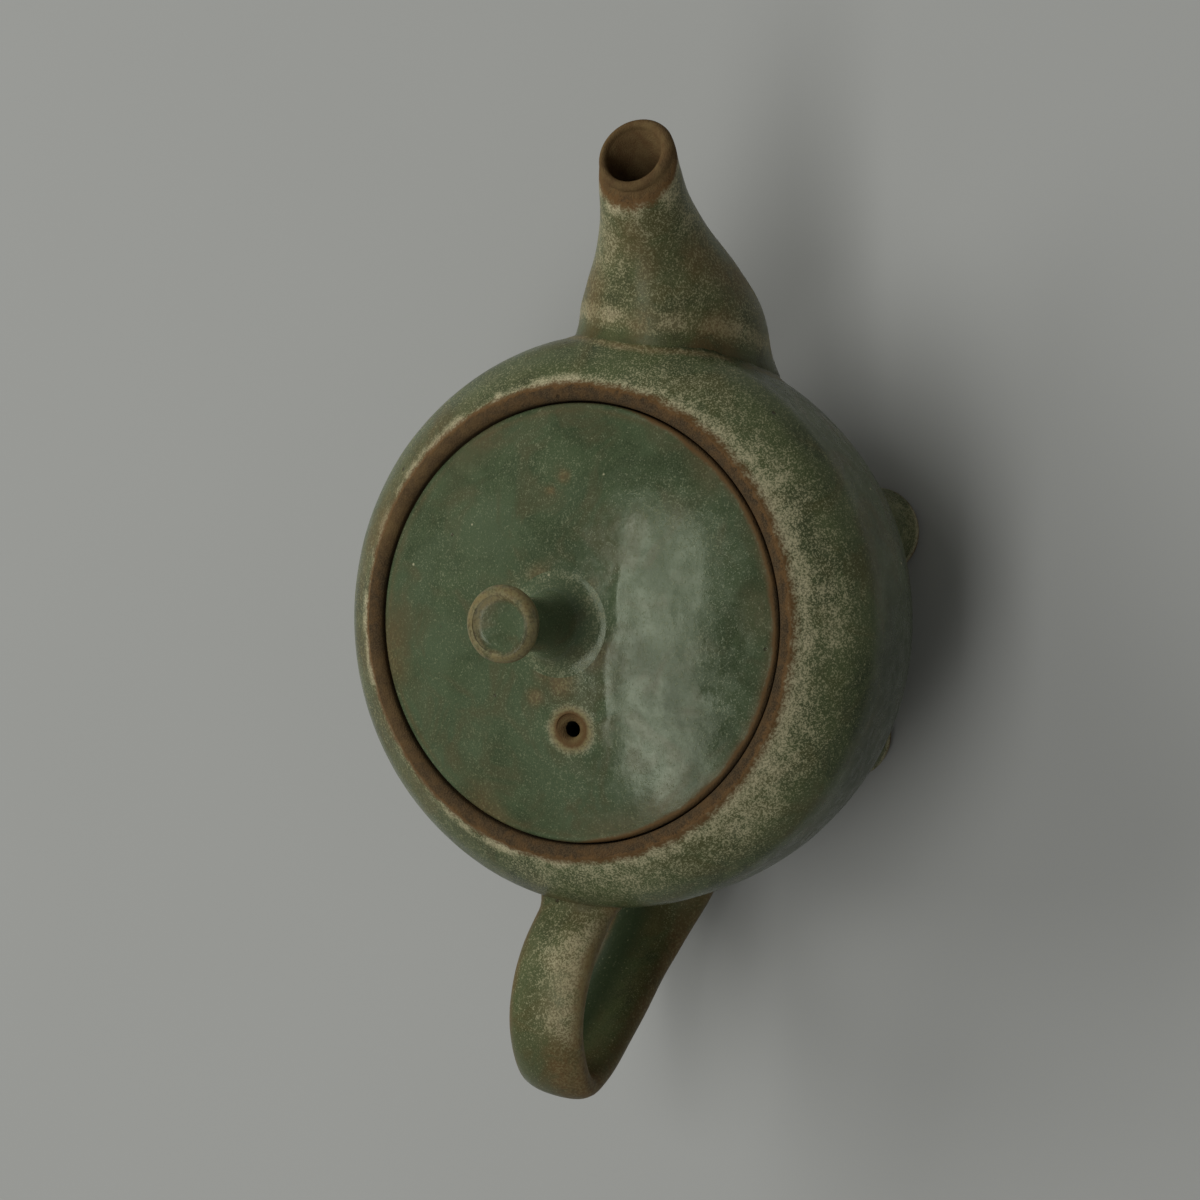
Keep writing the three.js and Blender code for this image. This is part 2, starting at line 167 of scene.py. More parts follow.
def smooth_line(knots: Sequence[Vector], stretches: int) -> list[Vector]:
    """Draws a line that runs smoothly through its knots, however far apart they lie.

    Args:
        knots: the points to pass through.
        stretches: how many stretches there are between two knots.

    Returns:
        The line's points.
    """
    line = []
    padded = [knots[0] * 2 - knots[1], *knots, knots[-1] * 2 - knots[-2]]
    for before, start, end, after in zip(padded, padded[1:], padded[2:], padded[3:]):
        spans = [math.sqrt((b - a).length) for a, b in ((before, start), (start, end), (end, after))]
        out = ((start - before) / spans[0] - (end - before) / (spans[0] + spans[1])
               + (end - start) / spans[1]) * spans[1]
        into = ((end - start) / spans[1] - (after - start) / (spans[1] + spans[2])
                + (after - end) / spans[2]) * spans[1]
        line.extend(ease_curve(start, out, end, into, step / stretches) for step in range(stretches))
    return [*line, knots[-1]]


def even_steps(line: Sequence[Vector], steps: int) -> list[Vector]:
    """Cuts a line into steps of the same length.

    Args:
        line: the line's points.
        steps: how many steps there are.

    Returns:
        The points between the steps, both ends included.
    """
    lengths = [0.0]
    for here, there in pairwise(line):
        lengths.append(lengths[-1] + (there - here).length)
    evenly = []
    place = 0
    for step in range(steps + 1):
        target = lengths[-1] * step / steps
        while place < len(lengths) - 2 and lengths[place + 1] < target:
            place += 1
        share = (target - lengths[place]) / (lengths[place + 1] - lengths[place])
        evenly.append(line[place].lerp(line[place + 1], share))
    return evenly


def waver(point: Vector, size: float, seed: float) -> float:
    """A smooth value from about -1 to 1 that changes over a size in millimetres."""
    return noise.noise(point / mm(size) + Vector((seed, -seed, 2 * seed)))


@dataclass(frozen=True)
class Wave:
    """A value that swings about its mean over a size in millimetres, and the seed of its swings."""

    mean: float
    swing: float
    size: float
    seed: float

    def at(self, point: Vector) -> float:
        """Its value at a point."""
        return self.mean + self.swing * waver(point, self.size, self.seed)


def colour(code: str) -> tuple[float, float, float, float]:
    """Turns an sRGB hex colour into a linear one.

    Args:
        code: the colour, as #rrggbb.

    Returns:
        The linear colour, with full alpha.
    """
    channels = [int(code[place:place + 2], 16) / 255 for place in (1, 3, 5)]
    linear = [c / 12.92 if c <= 0.04045 else ((c + 0.055) / 1.055) ** 2.4 for c in channels]
    return linear[0], linear[1], linear[2], 1.0


def add_node(tree: bpy.types.NodeTree, kind: str, feeds: Feeds = (), **settings) -> Node:
    """Adds a node, with its settings and what goes into its sockets.

    Args:
        tree: the node tree that gets it.
        kind: the node's type name.
        feeds: a socket, a node or a plain value for each input, by its name or number, or one
            after the other from the first input on. A node stands for its first output in use.
        **settings: the node's own properties.

    Returns:
        The new node.
    """
    node = tree.nodes.new(kind)
    for name, value in settings.items():
        setattr(node, name, value)
    for socket, value in feeds.items() if isinstance(feeds, dict) else enumerate(feeds):
        if isinstance(value, Node):
            value = next(output for output in value.outputs if output.enabled)
        if isinstance(value, Socket):
            tree.links.new(value, node.inputs[socket])
        else:
            node.inputs[socket].default_value = value
    return node


def pick_none() -> None:
    """Leaves nothing selected."""
    bpy.ops.object.select_all(action="DESELECT")


def pick(piece: Piece) -> None:
    """Selects one piece alone and makes it the active one.

    Args:
        piece: the piece.
    """
    pick_none()
    piece.select_set(True)
    bpy.context.view_layer.objects.active = piece


def name_piece(piece: Piece, name: str) -> None:
    """Gives a piece and its mesh their name."""
    piece.name = name
    piece.data.name = name


def settle(piece: Piece) -> None:
    """Puts a piece's place, turn and size into its mesh."""
    pick(piece)
    bpy.ops.object.transform_apply(location=True, rotation=True, scale=True)


def volume(piece: Piece) -> float:
    """Measures what a closed piece holds.

    Args:
        piece: the piece.

    Returns:
        The volume inside its faces, below 0 where they point inwards.
    """
    piece.data.calc_loop_triangles()
    corners = [vertex.co for vertex in piece.data.vertices]
    return sum(corners[a].dot(corners[b].cross(corners[c])) / 6
               for a, b, c in (triangle.vertices for triangle in piece.data.loop_triangles))


def close_up(piece: Piece) -> None:
    """Joins doubled points and turns every face outwards.

    Args:
        piece: the closed piece.
    """
    pick(piece)
    bpy.ops.object.mode_set(mode="EDIT")
    bpy.ops.mesh.select_all(action="SELECT")
    bpy.ops.mesh.remove_doubles(threshold=mm(WELD))
    bpy.ops.mesh.normals_make_consistent(inside=False)
    bpy.ops.object.mode_set(mode="OBJECT")
    if volume(piece) < 0:
        bpy.ops.object.mode_set(mode="EDIT")
        bpy.ops.mesh.select_all(action="SELECT")
        bpy.ops.mesh.flip_normals()
        bpy.ops.object.mode_set(mode="OBJECT")


def throw(name: str, section: Sequence[Point], sides: int = ROUND_SIDES) -> Piece:
    """Throws a round form: one point is drawn out along its section, which is spun round the axis.

    Args:
        name: the piece's name.
        section: points in millimetres as (radius, height), closed or with both ends on the axis.
        sides: how many steps the turn takes.

    Returns:
        The closed piece.
    """
    pick_none()
    start = (mm(section[0][0]), 0.0, mm(section[0][1]))
    bpy.ops.mesh.primitive_plane_add(size=mm(1), location=start)
    piece = bpy.context.object
    name_piece(piece, name)
    settle(piece)
    bpy.ops.object.mode_set(mode="EDIT")
    bpy.ops.mesh.select_all(action="SELECT")
    bpy.ops.mesh.merge(type="CENTER")
    for (radius, height), (next_radius, next_height) in pairwise(section):
        reach = (mm(next_radius - radius), 0.0, mm(next_height - height))
        bpy.ops.mesh.extrude_vertices_move(TRANSFORM_OT_translate={"value": reach})
    bpy.ops.mesh.select_all(action="SELECT")
    bpy.ops.mesh.spin(steps=sides, angle=2 * math.pi, center=(0, 0, 0), axis=(0, 0, 1))
    bpy.ops.object.mode_set(mode="OBJECT")
    close_up(piece)
    return piece


@dataclass(frozen=True)
class Station:
    """One section of a pulled form: its middle, how far it leans back, and its two widths."""

    middle: Vector
    lean: float
    across: float
    through: float


def pull(piece: Piece, stations: Sequence[Station]) -> None:
    """Draws the outline of a piece out through its stations, which all lean about Y.

    Args:
        piece: the piece, an outline that lies at the first station.
        stations: the sections to pass through, first one included.
    """
    pick(piece)
    bpy.ops.object.mode_set(mode="EDIT")
    bpy.ops.mesh.select_all(action="SELECT")
    for here, there in pairwise(stations):
        step = there.middle - here.middle
        bpy.ops.mesh.extrude_region_move(TRANSFORM_OT_translate={"value": step})
        # With no window this turns against the sign that it is given.
        turn = math.radians(there.lean - here.lean)
        bpy.ops.transform.rotate(value=turn, orient_axis="Y", center_override=there.middle)
        thicker = there.through / here.through
        wider = there.across / here.across
        bpy.ops.transform.resize(value=(thicker, wider, thicker), center_override=there.middle)
    bpy.ops.object.mode_set(mode="OBJECT")


def close_ends(piece: Piece, bridged: bool) -> None:
    """Closes the open ends of a pulled form.

    Args:
        piece: the piece.
        bridged: whether the two ends are joined to each other, and not each filled.
    """
    pick(piece)
    bpy.ops.object.mode_set(mode="EDIT")
    bpy.ops.mesh.select_mode(type="EDGE")
    bpy.ops.mesh.select_all(action="DESELECT")
    bpy.ops.mesh.select_non_manifold(extend=False, use_boundary=True, use_wire=False)
    if bridged:
        bpy.ops.mesh.bridge_edge_loops()
    else:
        bpy.ops.mesh.edge_face_add()
    bpy.ops.mesh.select_mode(type="VERT")
    bpy.ops.object.mode_set(mode="OBJECT")
    close_up(piece)


def carve(piece: Piece, cutter: Piece, keep_cutter: bool = False) -> None:
    """Takes a cutter's shape out of a piece.

    Args:
        piece: what is cut.
        cutter: the closed shape that is taken away.
        keep_cutter: whether the cutter is used again.
    """
    pick(piece)
    cut = piece.modifiers.new("carve", "BOOLEAN")
    cut.operation = "DIFFERENCE"
    cut.solver = "EXACT"
    cut.object = cutter
    bpy.ops.object.modifier_apply(modifier=cut.name)
    if not keep_cutter:
        bpy.data.objects.remove(cutter)


def move_points(piece: Piece, shift: Callable[[Vector, Vector], Vector]) -> None:
    """Moves every point of a piece.

    Args:
        piece: the piece.
        shift: what gives the way to go from a point's place and normal, in metres.
    """
    normals = [vertex.normal.copy() for vertex in piece.data.vertices]
    for vertex, normal in zip(piece.data.vertices, normals):
        vertex.co = vertex.co + shift(vertex.co, normal)
    piece.data.update()


def smear(depth: float, reach: float, gap: float) -> float:
    """How thick slip lies that is smeared from a joint over a reach, at a gap from it."""
    return depth * max(0.0, 1 - max(gap, 0.0) / reach) ** 2


def even(value: float) -> Measure:
    """A measure that is the same all over a piece."""
    return lambda point, normal: value


def mark(piece: Piece, edge: Measure, thin: Measure, bloom: Measure) -> None:
    """Paints the measures that a finish reads on every point of a piece.

    Args:
        piece: the piece.
        edge: distance into the glaze from its edge, in millimetres, below 0 on bare clay, and far below
            in holes, where painted shade is drawn.
        thin: how thin the glaze lies, from 0 to 1.
        bloom: how thickly crystals stand, from 0 to 1, and below 0 where the glaze pools dark, and where
            painted shade is drawn.
    """
    for name, measure in ((EDGE, edge), (THIN, thin), (BLOOM, bloom)):
        layer = piece.data.attributes.new(name, "FLOAT", "POINT")
        values = [measure(vertex.co, vertex.normal) for vertex in piece.data.vertices]
        layer.data.foreach_set("value", values)


@dataclass(frozen=True)
class Cloud:
    """A cloudy pattern: its real size in millimetres, layers of detail, their strength and warp."""

    size: float
    detail: float
    strength: float
    warp: float = 0.0

    def feeds(self, place: Socket) -> dict[str, object]:
        """What a noise texture takes in for this pattern."""
        return {"Vector": place, "Scale": 1 / mm(self.size), "Detail": self.detail,
                "Roughness": self.strength, "Distortion": self.warp}


@dataclass(frozen=True)
class Ground:
    """What all layers of one glaze are built on: its nodes, its patterns and painted measures."""

    tree: bpy.types.NodeTree
    place: Socket
    patch: Node
    fine: Node
    grain: Node
    mottle: Node
    depth: Socket
    thin: Socket
    bloom: Socket
    edge: Node


@dataclass(frozen=True)
class AshGlaze:
    """Green ash glaze on iron-bearing stoneware, poured and wood-fired.

    It melts to a satin glass that pools green, breaks brown on edges and grows pale crystals where
    it lies thick near them. Bare clay shows at the rims. Reaches are distances from the glaze's
    edge, and reliefs heights, in millimetres. A cloud's values lie mostly between 0.3 and 0.7.
    """

    name: str
    pool_and_shade: str
    green: str
    drift: str
    olive: str
    crystal: str
    cream: str
    broken: str
    tan: str
    clay: str
    dark_clay: str
    roughness: float
    crystal_lift: float
    rim_bloom: float
    ragged: float
    speck_share: float
    peel: float
    gloss: float
    edge_line: float
    # Near black, drawn deep in holes and channels as painted shade.
    hole_shade: str = "#120f0b"
    sheen: str = "#f3fae2"
    ior: float = 1.5
    bare_roughness: float = 0.85
    bare_gloss: float = 0.12
    mottles: Cloud = Cloud(6.0, 3.0, 0.6, 0.6)
    drifts: Cloud = Cloud(17.0, 2.0, 0.5, 0.5)
    stains: Cloud = Cloud(10.0, 3.0, 0.6, 1.0)
    breaks: Cloud = Cloud(5.5, 2.0, 0.6)
    patches: Cloud = Cloud(2.2, 3.0, 0.6, 0.5)
    peels: Cloud = Cloud(2.0, 2.0, 0.5)
    # The real crystals are finer still, and are drawn as coarse as they need to show.
    crystals: Cloud = Cloud(0.4, 2.0, 0.6, 0.3)
    grains: Cloud = Cloud(0.22, 1.0, 0.5)
    speck_spacing: float = 2.6
    iron_spacing: float = 9.0
    bloom_reach: Point = (3.8, 0.5)
    clay_reach: Point = (0.1, -0.6)
    # Depths past the glaze's edge over which the painted shade in holes comes in.
    hole_shade_reach: Point = (-5.0, -9.0)
    crystal_relief: float = 0.007
    grain_relief: float = 0.12
    glaze_relief: float = 0.14
    pit_relief: float = 0.15

    def material(self) -> bpy.types.Material:
        """Builds the finish.

        Returns:
            The material, whose patterns follow object coordinates and the painted measures.
        """
        made = bpy.data.materials.new(self.name)
        made.use_nodes = True
        tree = made.node_tree
        tree.nodes.clear()
        on = self.ground(tree)
        glass, crystals = self.grow(on, self.melt(on))
        bare = add_node(tree, RAMP, (on.edge, *self.clay_reach), **SMOOTH)
        skin, pits = self.uncover(on, self.wear(on, glass), bare)
        relief = self.relief(on, crystals, bare, pits)
        bump = add_node(tree, "ShaderNodeBump", {"Height": relief, "Distance": mm(1), "Strength": 1.0})
        shader = add_node(tree, "ShaderNodeBsdfPrincipled", {
            "Base Color": skin, "Roughness": self.roughen(on, crystals, bare), "IOR": self.ior,
            "Specular IOR Level": self.shine(on), "Specular Tint": colour(self.sheen),
            "Normal": bump})
        add_node(tree, "ShaderNodeOutputMaterial", {"Surface": shader})
        return made

    def ground(self, tree: bpy.types.NodeTree) -> Ground:
        """Lays the patterns, reads the painted measures and frays the glaze's edge.

        Args:
            tree: the material's node tree.

        Returns:
            What all layers are built on.
        """
        place = add_node(tree, "ShaderNodeTexCoord").outputs["Object"]
        patch, fine, grain, mottle = (
            add_node(tree, NOISE, cloud.feeds(place))
            for cloud in (self.patches, self.crystals, self.grains, self.mottles))
        depth, thin, bloom = (
            add_node(tree, "ShaderNodeAttribute", attribute_name=name).outputs["Fac"]
            for name in (EDGE, THIN, BLOOM))
        fray = add_node(tree, MATHS, (fine, 1.3, -1.4), operation="MULTIPLY_ADD")
        wander = add_node(tree, MATHS, (patch, 1.5, fray), operation="MULTIPLY_ADD")
        edge = add_node(tree, MATHS, (wander, self.ragged, depth), operation="MULTIPLY_ADD")
        return Ground(tree, place, patch, fine, grain, mottle, depth, thin, bloom, edge)

    def melt(self, on: Ground) -> Node:
        """Builds the glass itself: green pools, sage drifts, olive stains and a fine broken texture, and
        the dark of painted shade where the bloom falls below 0.

        Args:
            on: what the layer is built on.

        Returns:
            The glass's colour.
        """
        drift = add_node(on.tree, NOISE, self.drifts.feeds(on.place))
        stain = add_node(on.tree, NOISE, self.stains.feeds(on.place))
        # Below 0 the bloom draws the pool colour: real pools, and painted shade on the pot's near side
        # and the handle's inner face.
        glass = colour(self.pool_and_shade)
        for value, limits, over in (
                (on.mottle, (0.36, 0.64, 0.0, 1.0), self.green),
                (drift, (0.38, 0.64, 0.0, 0.7), self.drift),
                (stain, (0.47, 0.66, 0.0, 0.75), self.olive),
                (on.grain, (0.35, 0.65, 0.0, 0.22), self.crystal),
                (on.bloom, (0.0, -0.9, 0.0, 1.0), self.pool_and_shade)):
            share = add_node(on.tree, RAMP, (value, *limits), **SMOOTH)
            glass = add_node(on.tree, MIX, {0: share, 6: glass, 7: colour(over)}, **TINTS)
        return glass

    def grow(self, on: Ground, glass: Node) -> tuple[Node, Node]:
        """Grows pale crystals in a faint milk, where the bloom is painted and along the glaze's edge.

        Args:
            on: what the layer is built on.
            glass: the glass's colour.

        Returns:
            The colour with its crystals and specks, and where the crystals stand.
        """
        tree = on.tree
        breaks = add_node(tree, NOISE, self.breaks.feeds(on.place))
        amounts = (0.4 * self.rim_bloom, self.rim_bloom)
        broken_up = add_node(tree, RAMP, (breaks, 0.36, 0.62, *amounts), **SMOOTH)
        near_edge = add_node(tree, RAMP, (on.edge, *self.bloom_reach), **SMOOTH)
        along_edge = add_node(tree, MATHS, (near_edge, broken_up), operation="MULTIPLY")
        most = add_node(tree, MATHS, (on.bloom, along_edge), operation="MAXIMUM")
        uneven = add_node(tree, RAMP, (on.patch, 0.3, 0.7, 0.78, 1.15), **SMOOTH)
        crowd = add_node(tree, MATHS, (most, uneven), operation="MULTIPLY")

        milk = add_node(tree, RAMP, (crowd, 0.2, 1.1, 0.0, 0.52 * self.crystal_lift), **SMOOTH)
        thick = add_node(tree, RAMP, (crowd, 0.6, 1.2), **SMOOTH)
        pale = add_node(tree, MIX, {0: thick, 6: colour(self.crystal), 7: colour(self.cream)}, **TINTS)
        glass = add_node(tree, MIX, {0: milk, 6: glass, 7: pale}, **TINTS)

        # The more they crowd, the lower the speckle's limit, down to one that still leaves gaps.
        coarse = add_node(tree, MATHS, (on.grain, 0.4), operation="MULTIPLY")
        speckle = add_node(tree, MATHS, (on.fine, 0.6, coarse), operation="MULTIPLY_ADD")
        limit = add_node(tree, MATHS, (crowd, -0.2, 0.6), operation="MULTIPLY_ADD")
        limit = add_node(tree, MATHS, (limit, 0.43), operation="MAXIMUM")
        full = add_node(tree, MATHS, (limit, 0.13), operation="ADD")
        crystals = add_node(tree, RAMP, (speckle, limit, full), **SMOOTH)
        glint = add_node(tree, RAMP, (on.grain, 0.3, 0.75, 0.15, 0.85), **SMOOTH)
        dense = add_node(tree, RAMP, (crowd, 0.3, 1.0, 0.3, 1.0), **SMOOTH)
        bright = add_node(tree, MATHS, (glint, dense), operation="MULTIPLY")
        flake = add_node(tree, MIX, {0: bright, 6: pale, 7: colour(self.cream)}, **TINTS)
        lift = add_node(tree, MATHS, (crystals, self.crystal_lift), operation="MULTIPLY")
        glass = add_node(tree, MIX, {0: lift, 6: glass, 7: flake}, **TINTS)

        specks = add_node(tree, SPOTS, {"Vector": on.place, "Scale": 1 / mm(self.speck_spacing)})
        dots = add_node(tree, RAMP, (specks, 0.11, 0.05), **SMOOTH)
        shares = (1 - self.speck_share, 1.001 - self.speck_share)
        picked = add_node(tree, RAMP, (specks.outputs["Color"], *shares), **SMOOTH)
        share = add_node(tree, MATHS, (dots, picked), operation="MULTIPLY")
        glass = add_node(tree, MIX, {0: share, 6: glass, 7: colour(self.cream)}, **TINTS)
        return glass, crystals

    def wear(self, on: Ground, glass: Node) -> Node:
        """Breaks the glaze to tan and brown where it runs thin, and along its edge.

        Args:
            on: what the layer is built on.
            glass: the glass's colour.

        Returns:
            The colour with its breaks.
        """
        tree = on.tree
        streaks = add_node(tree, MATHS, (on.fine, 0.5, on.patch), operation="MULTIPLY_ADD")
        streaks = add_node(tree, RAMP, (streaks, 0.42, 0.85, 0.45, 1.0), **SMOOTH)
        worn = add_node(tree, MATHS, (on.thin, streaks), operation="MULTIPLY")
        rubbed = add_node(tree, MATHS, (on.thin, on.bloom), operation="ADD")
        rubbed = add_node(tree, MATHS, (rubbed, 0.2, on.fine), operation="MULTIPLY_ADD")
        rubbed = add_node(tree, RAMP, (rubbed, 0.6, 0.98), **SMOOTH)
        brown = add_node(tree, MIX, {0: rubbed, 6: colour(self.broken), 7: colour(self.tan)}, **TINTS)
        glass = add_node(tree, MIX, {0: worn, 6: glass, 7: brown}, **TINTS)
        line = add_node(tree, RAMP, (on.edge, self.edge_line, self.clay_reach[0]), **SMOOTH)
        return add_node(tree, MIX, {0: line, 6: glass, 7: colour(self.broken)}, **TINTS)

    def uncover(self, on: Ground, glass: Node, bare: Node) -> tuple[Node, Node]:
        """Bares the clay past the glaze's edge, flashed brown by the fire and pitted by its iron, and
        paints shade deep in holes.

        Args:
            on: what the layer is built on.
            glass: the glaze's colour.
            bare: where the clay is bare.

        Returns:
            The finished colour, and where the iron's pits are.
        """
        tree = on.tree
        grainy = add_node(tree, RAMP, (on.grain, 0.3, 0.75), **SMOOTH)
        clay = add_node(tree, MIX, {0: grainy, 6: colour(self.dark_clay), 7: colour(self.clay)}, **TINTS)
        patchy = add_node(tree, RAMP, (on.patch, 0.35, 0.7, 0.0, 0.5), **SMOOTH)
        clay = add_node(tree, MIX, {0: patchy, 6: clay, 7: colour(self.broken)}, **TINTS)
        fire = add_node(tree, RAMP, (on.patch, 0.3, 0.7, 0.0, 0.5), **SMOOTH)
        flash = add_node(tree, MIX, {0: fire, 6: colour(self.broken), 7: colour(self.tan)}, **TINTS)
        flashed = add_node(tree, MATHS, (on.thin, 0.75), operation="MULTIPLY")
        clay = add_node(tree, MIX, {0: flashed, 6: clay, 7: flash}, **TINTS)
        skin = add_node(tree, MIX, {0: bare, 6: glass, 7: clay}, **TINTS)
        # Painted shade: deep in holes and channels the surface turns near black.
        hole_shaded = add_node(tree, RAMP, (on.depth, *self.hole_shade_reach), **SMOOTH)
        skin = add_node(tree, MIX, {0: hole_shaded, 6: skin, 7: colour(self.hole_shade)}, **TINTS)
        iron = add_node(tree, SPOTS, {"Vector": on.place, "Scale": 1 / mm(self.iron_spacing)})
        pits = add_node(tree, RAMP, (iron, 0.05, 0.02), **SMOOTH)
        dark = add_node(tree, MATHS, (pits, 0.8), operation="MULTIPLY")
        skin = add_node(tree, MIX, {0: dark, 6: skin, 7: colour(self.dark_clay)}, **TINTS)
        return skin, pits

    def roughen(self, on: Ground, crystals: Node, bare: Node) -> Node:
        """Makes the surface rougher with crystals, where the glaze is thin, and on bare clay.

        Args:
            on: what the layer is built on.
            crystals: where the crystals stand.
            bare: where the clay is bare.

        Returns:
            The roughness.
        """
        tree = on.tree
        limits = (0.3, 0.7, self.roughness - 0.05, self.roughness + 0.1)
        glazed = add_node(tree, RAMP, (on.patch, *limits), **SMOOTH)
        glazed = add_node(tree, MATHS, (crystals, 0.12, glazed), operation="MULTIPLY_ADD")
        glazed = add_node(tree, MATHS, (on.thin, 0.22, glazed), operation="MULTIPLY_ADD")
        dry = add_node(tree, RAMP, (on.edge, 1.0, self.clay_reach[0], 0.0, 0.6), **SMOOTH)
        glazed = add_node(tree, MATHS, (glazed, dry), operation="MAXIMUM")
        bare_part = add_node(tree, MATHS, (bare, self.bare_roughness), operation="MULTIPLY")
        covered = add_node(tree, MATHS, (1.0, bare), operation="SUBTRACT")
        return add_node(tree, MATHS, (glazed, covered, bare_part), operation="MULTIPLY_ADD")

    def shine(self, on: Ground) -> Node:
        """Dulls the gloss at the glaze's edge, and clouds it with the pools.

        Args:
            on: what the layer is built on.

        Returns:
            The strength of the reflection.
        """
        fading = add_node(on.tree, RAMP, (on.edge, 0.9, 0.0, self.gloss, self.bare_gloss), **SMOOTH)
        clouded = add_node(on.tree, RAMP, (on.mottle, 0.36, 0.64, 0.72, 1.15), **SMOOTH)
        return add_node(on.tree, MATHS, (fading, clouded), operation="MULTIPLY")

    def relief(self, on: Ground, crystals: Node, bare: Node, pits: Node) -> Node:
        """Raises crystals, orange peel, clay grain and the glaze's own thickness, and sinks pits.

        Args:
            on: what the layer is built on.
            crystals: where the crystals stand.
            bare: where the clay is bare.
            pits: where the iron's pits are.

        Returns:
            The height in millimetres.
        """
        peel = add_node(on.tree, NOISE, self.peels.feeds(on.place))
        bare_grain = add_node(on.tree, MATHS, (on.grain, bare), operation="MULTIPLY")
        height = add_node(on.tree, MATHS, (crystals, self.crystal_relief), operation="MULTIPLY")
        for part, rise in ((peel, self.peel), (bare_grain, self.grain_relief),
                           (bare, -self.glaze_relief), (pits, -self.pit_relief)):
            height = add_node(on.tree, MATHS, (part, rise, height), operation="MULTIPLY_ADD")
        return height


# Satin ash glaze of the pot: olive green, thick with pale crystals.
POT_GLAZE = AshGlaze(
    name="ash_glaze_satin", pool_and_shade="#333d28", green="#445030", drift="#505b3b", olive="#4f4b2c",
    crystal="#858864", cream="#cdc39e", broken="#6a5032", tan="#80714d", clay="#594a36",
    dark_clay="#3d3326", roughness=0.26, crystal_lift=0.76, rim_bloom=1.3, ragged=1.0,
    speck_share=0.1, peel=0.03, gloss=0.2, edge_line=1.3)

# The lid's glaze ran smoother: glossier and with few crystals.
LID_GLAZE = AshGlaze(
    name="ash_glaze_smooth", pool_and_shade="#3a462f", green="#465439", drift="#505e45", olive="#525038",
    crystal="#6d7656", cream="#b0ac8a", broken="#624b2f", tan="#82764f", clay="#594a36",
    dark_clay="#3d3326", roughness=0.16, crystal_lift=0.5, rim_bloom=0.2, ragged=0.35,
    speck_share=0.22, peel=0.035, gloss=0.45, edge_line=0.8)

# Bare iron-bearing stoneware: matt, brown and faintly grained.
BARE_CLAY = AshGlaze(
    name="bare_stoneware", pool_and_shade="#4a3c2a", green="#4a3c2a", drift="#4a3c2a", olive="#4a3c2a",
    crystal="#6b5840", cream="#6b5840", broken="#5e482e", tan="#6b5840", clay="#4f422e",
    dark_clay="#372d1f", roughness=0.8, crystal_lift=0.2, rim_bloom=0.0, ragged=0.2,
    speck_share=0.02, peel=0.05, gloss=0.2, edge_line=1.3)


@dataclass
class Kiln:
    """Holds one material of each finish and dresses the pieces."""

    finishes: dict[Slot, AshGlaze] = field(default_factory=lambda: {
        Slot.POT: POT_GLAZE, Slot.LID: LID_GLAZE, Slot.CLAY: BARE_CLAY})
    fired: dict[Slot, bpy.types.Material] = field(default_factory=dict)
    crease: float = 50.0

    def fire(self, piece: Piece, slot: Slot, body: Body, nodes: Iterable[str]) -> Piece:
        """Gives a piece its finish and ties it to the frame.

        Args:
            piece: the finished mesh.
            slot: the material slot that its finish belongs to.
            body: the moving body that it rides on.
            nodes: the CAD nodes that it stands for.

        Returns:
            The same piece.
        """
        if slot not in self.fired:
            self.fired[slot] = self.finishes[slot].material()
        piece.data.materials.clear()
        piece.data.materials.append(self.fired[slot])
        pick(piece)
        bpy.ops.object.shade_smooth_by_angle(angle=math.radians(self.crease))
        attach(piece, body.value)
        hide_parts(*nodes)
        log.info("%s: %d faces, on %s", piece.name, len(piece.data.polygons), body.value)
        return piece


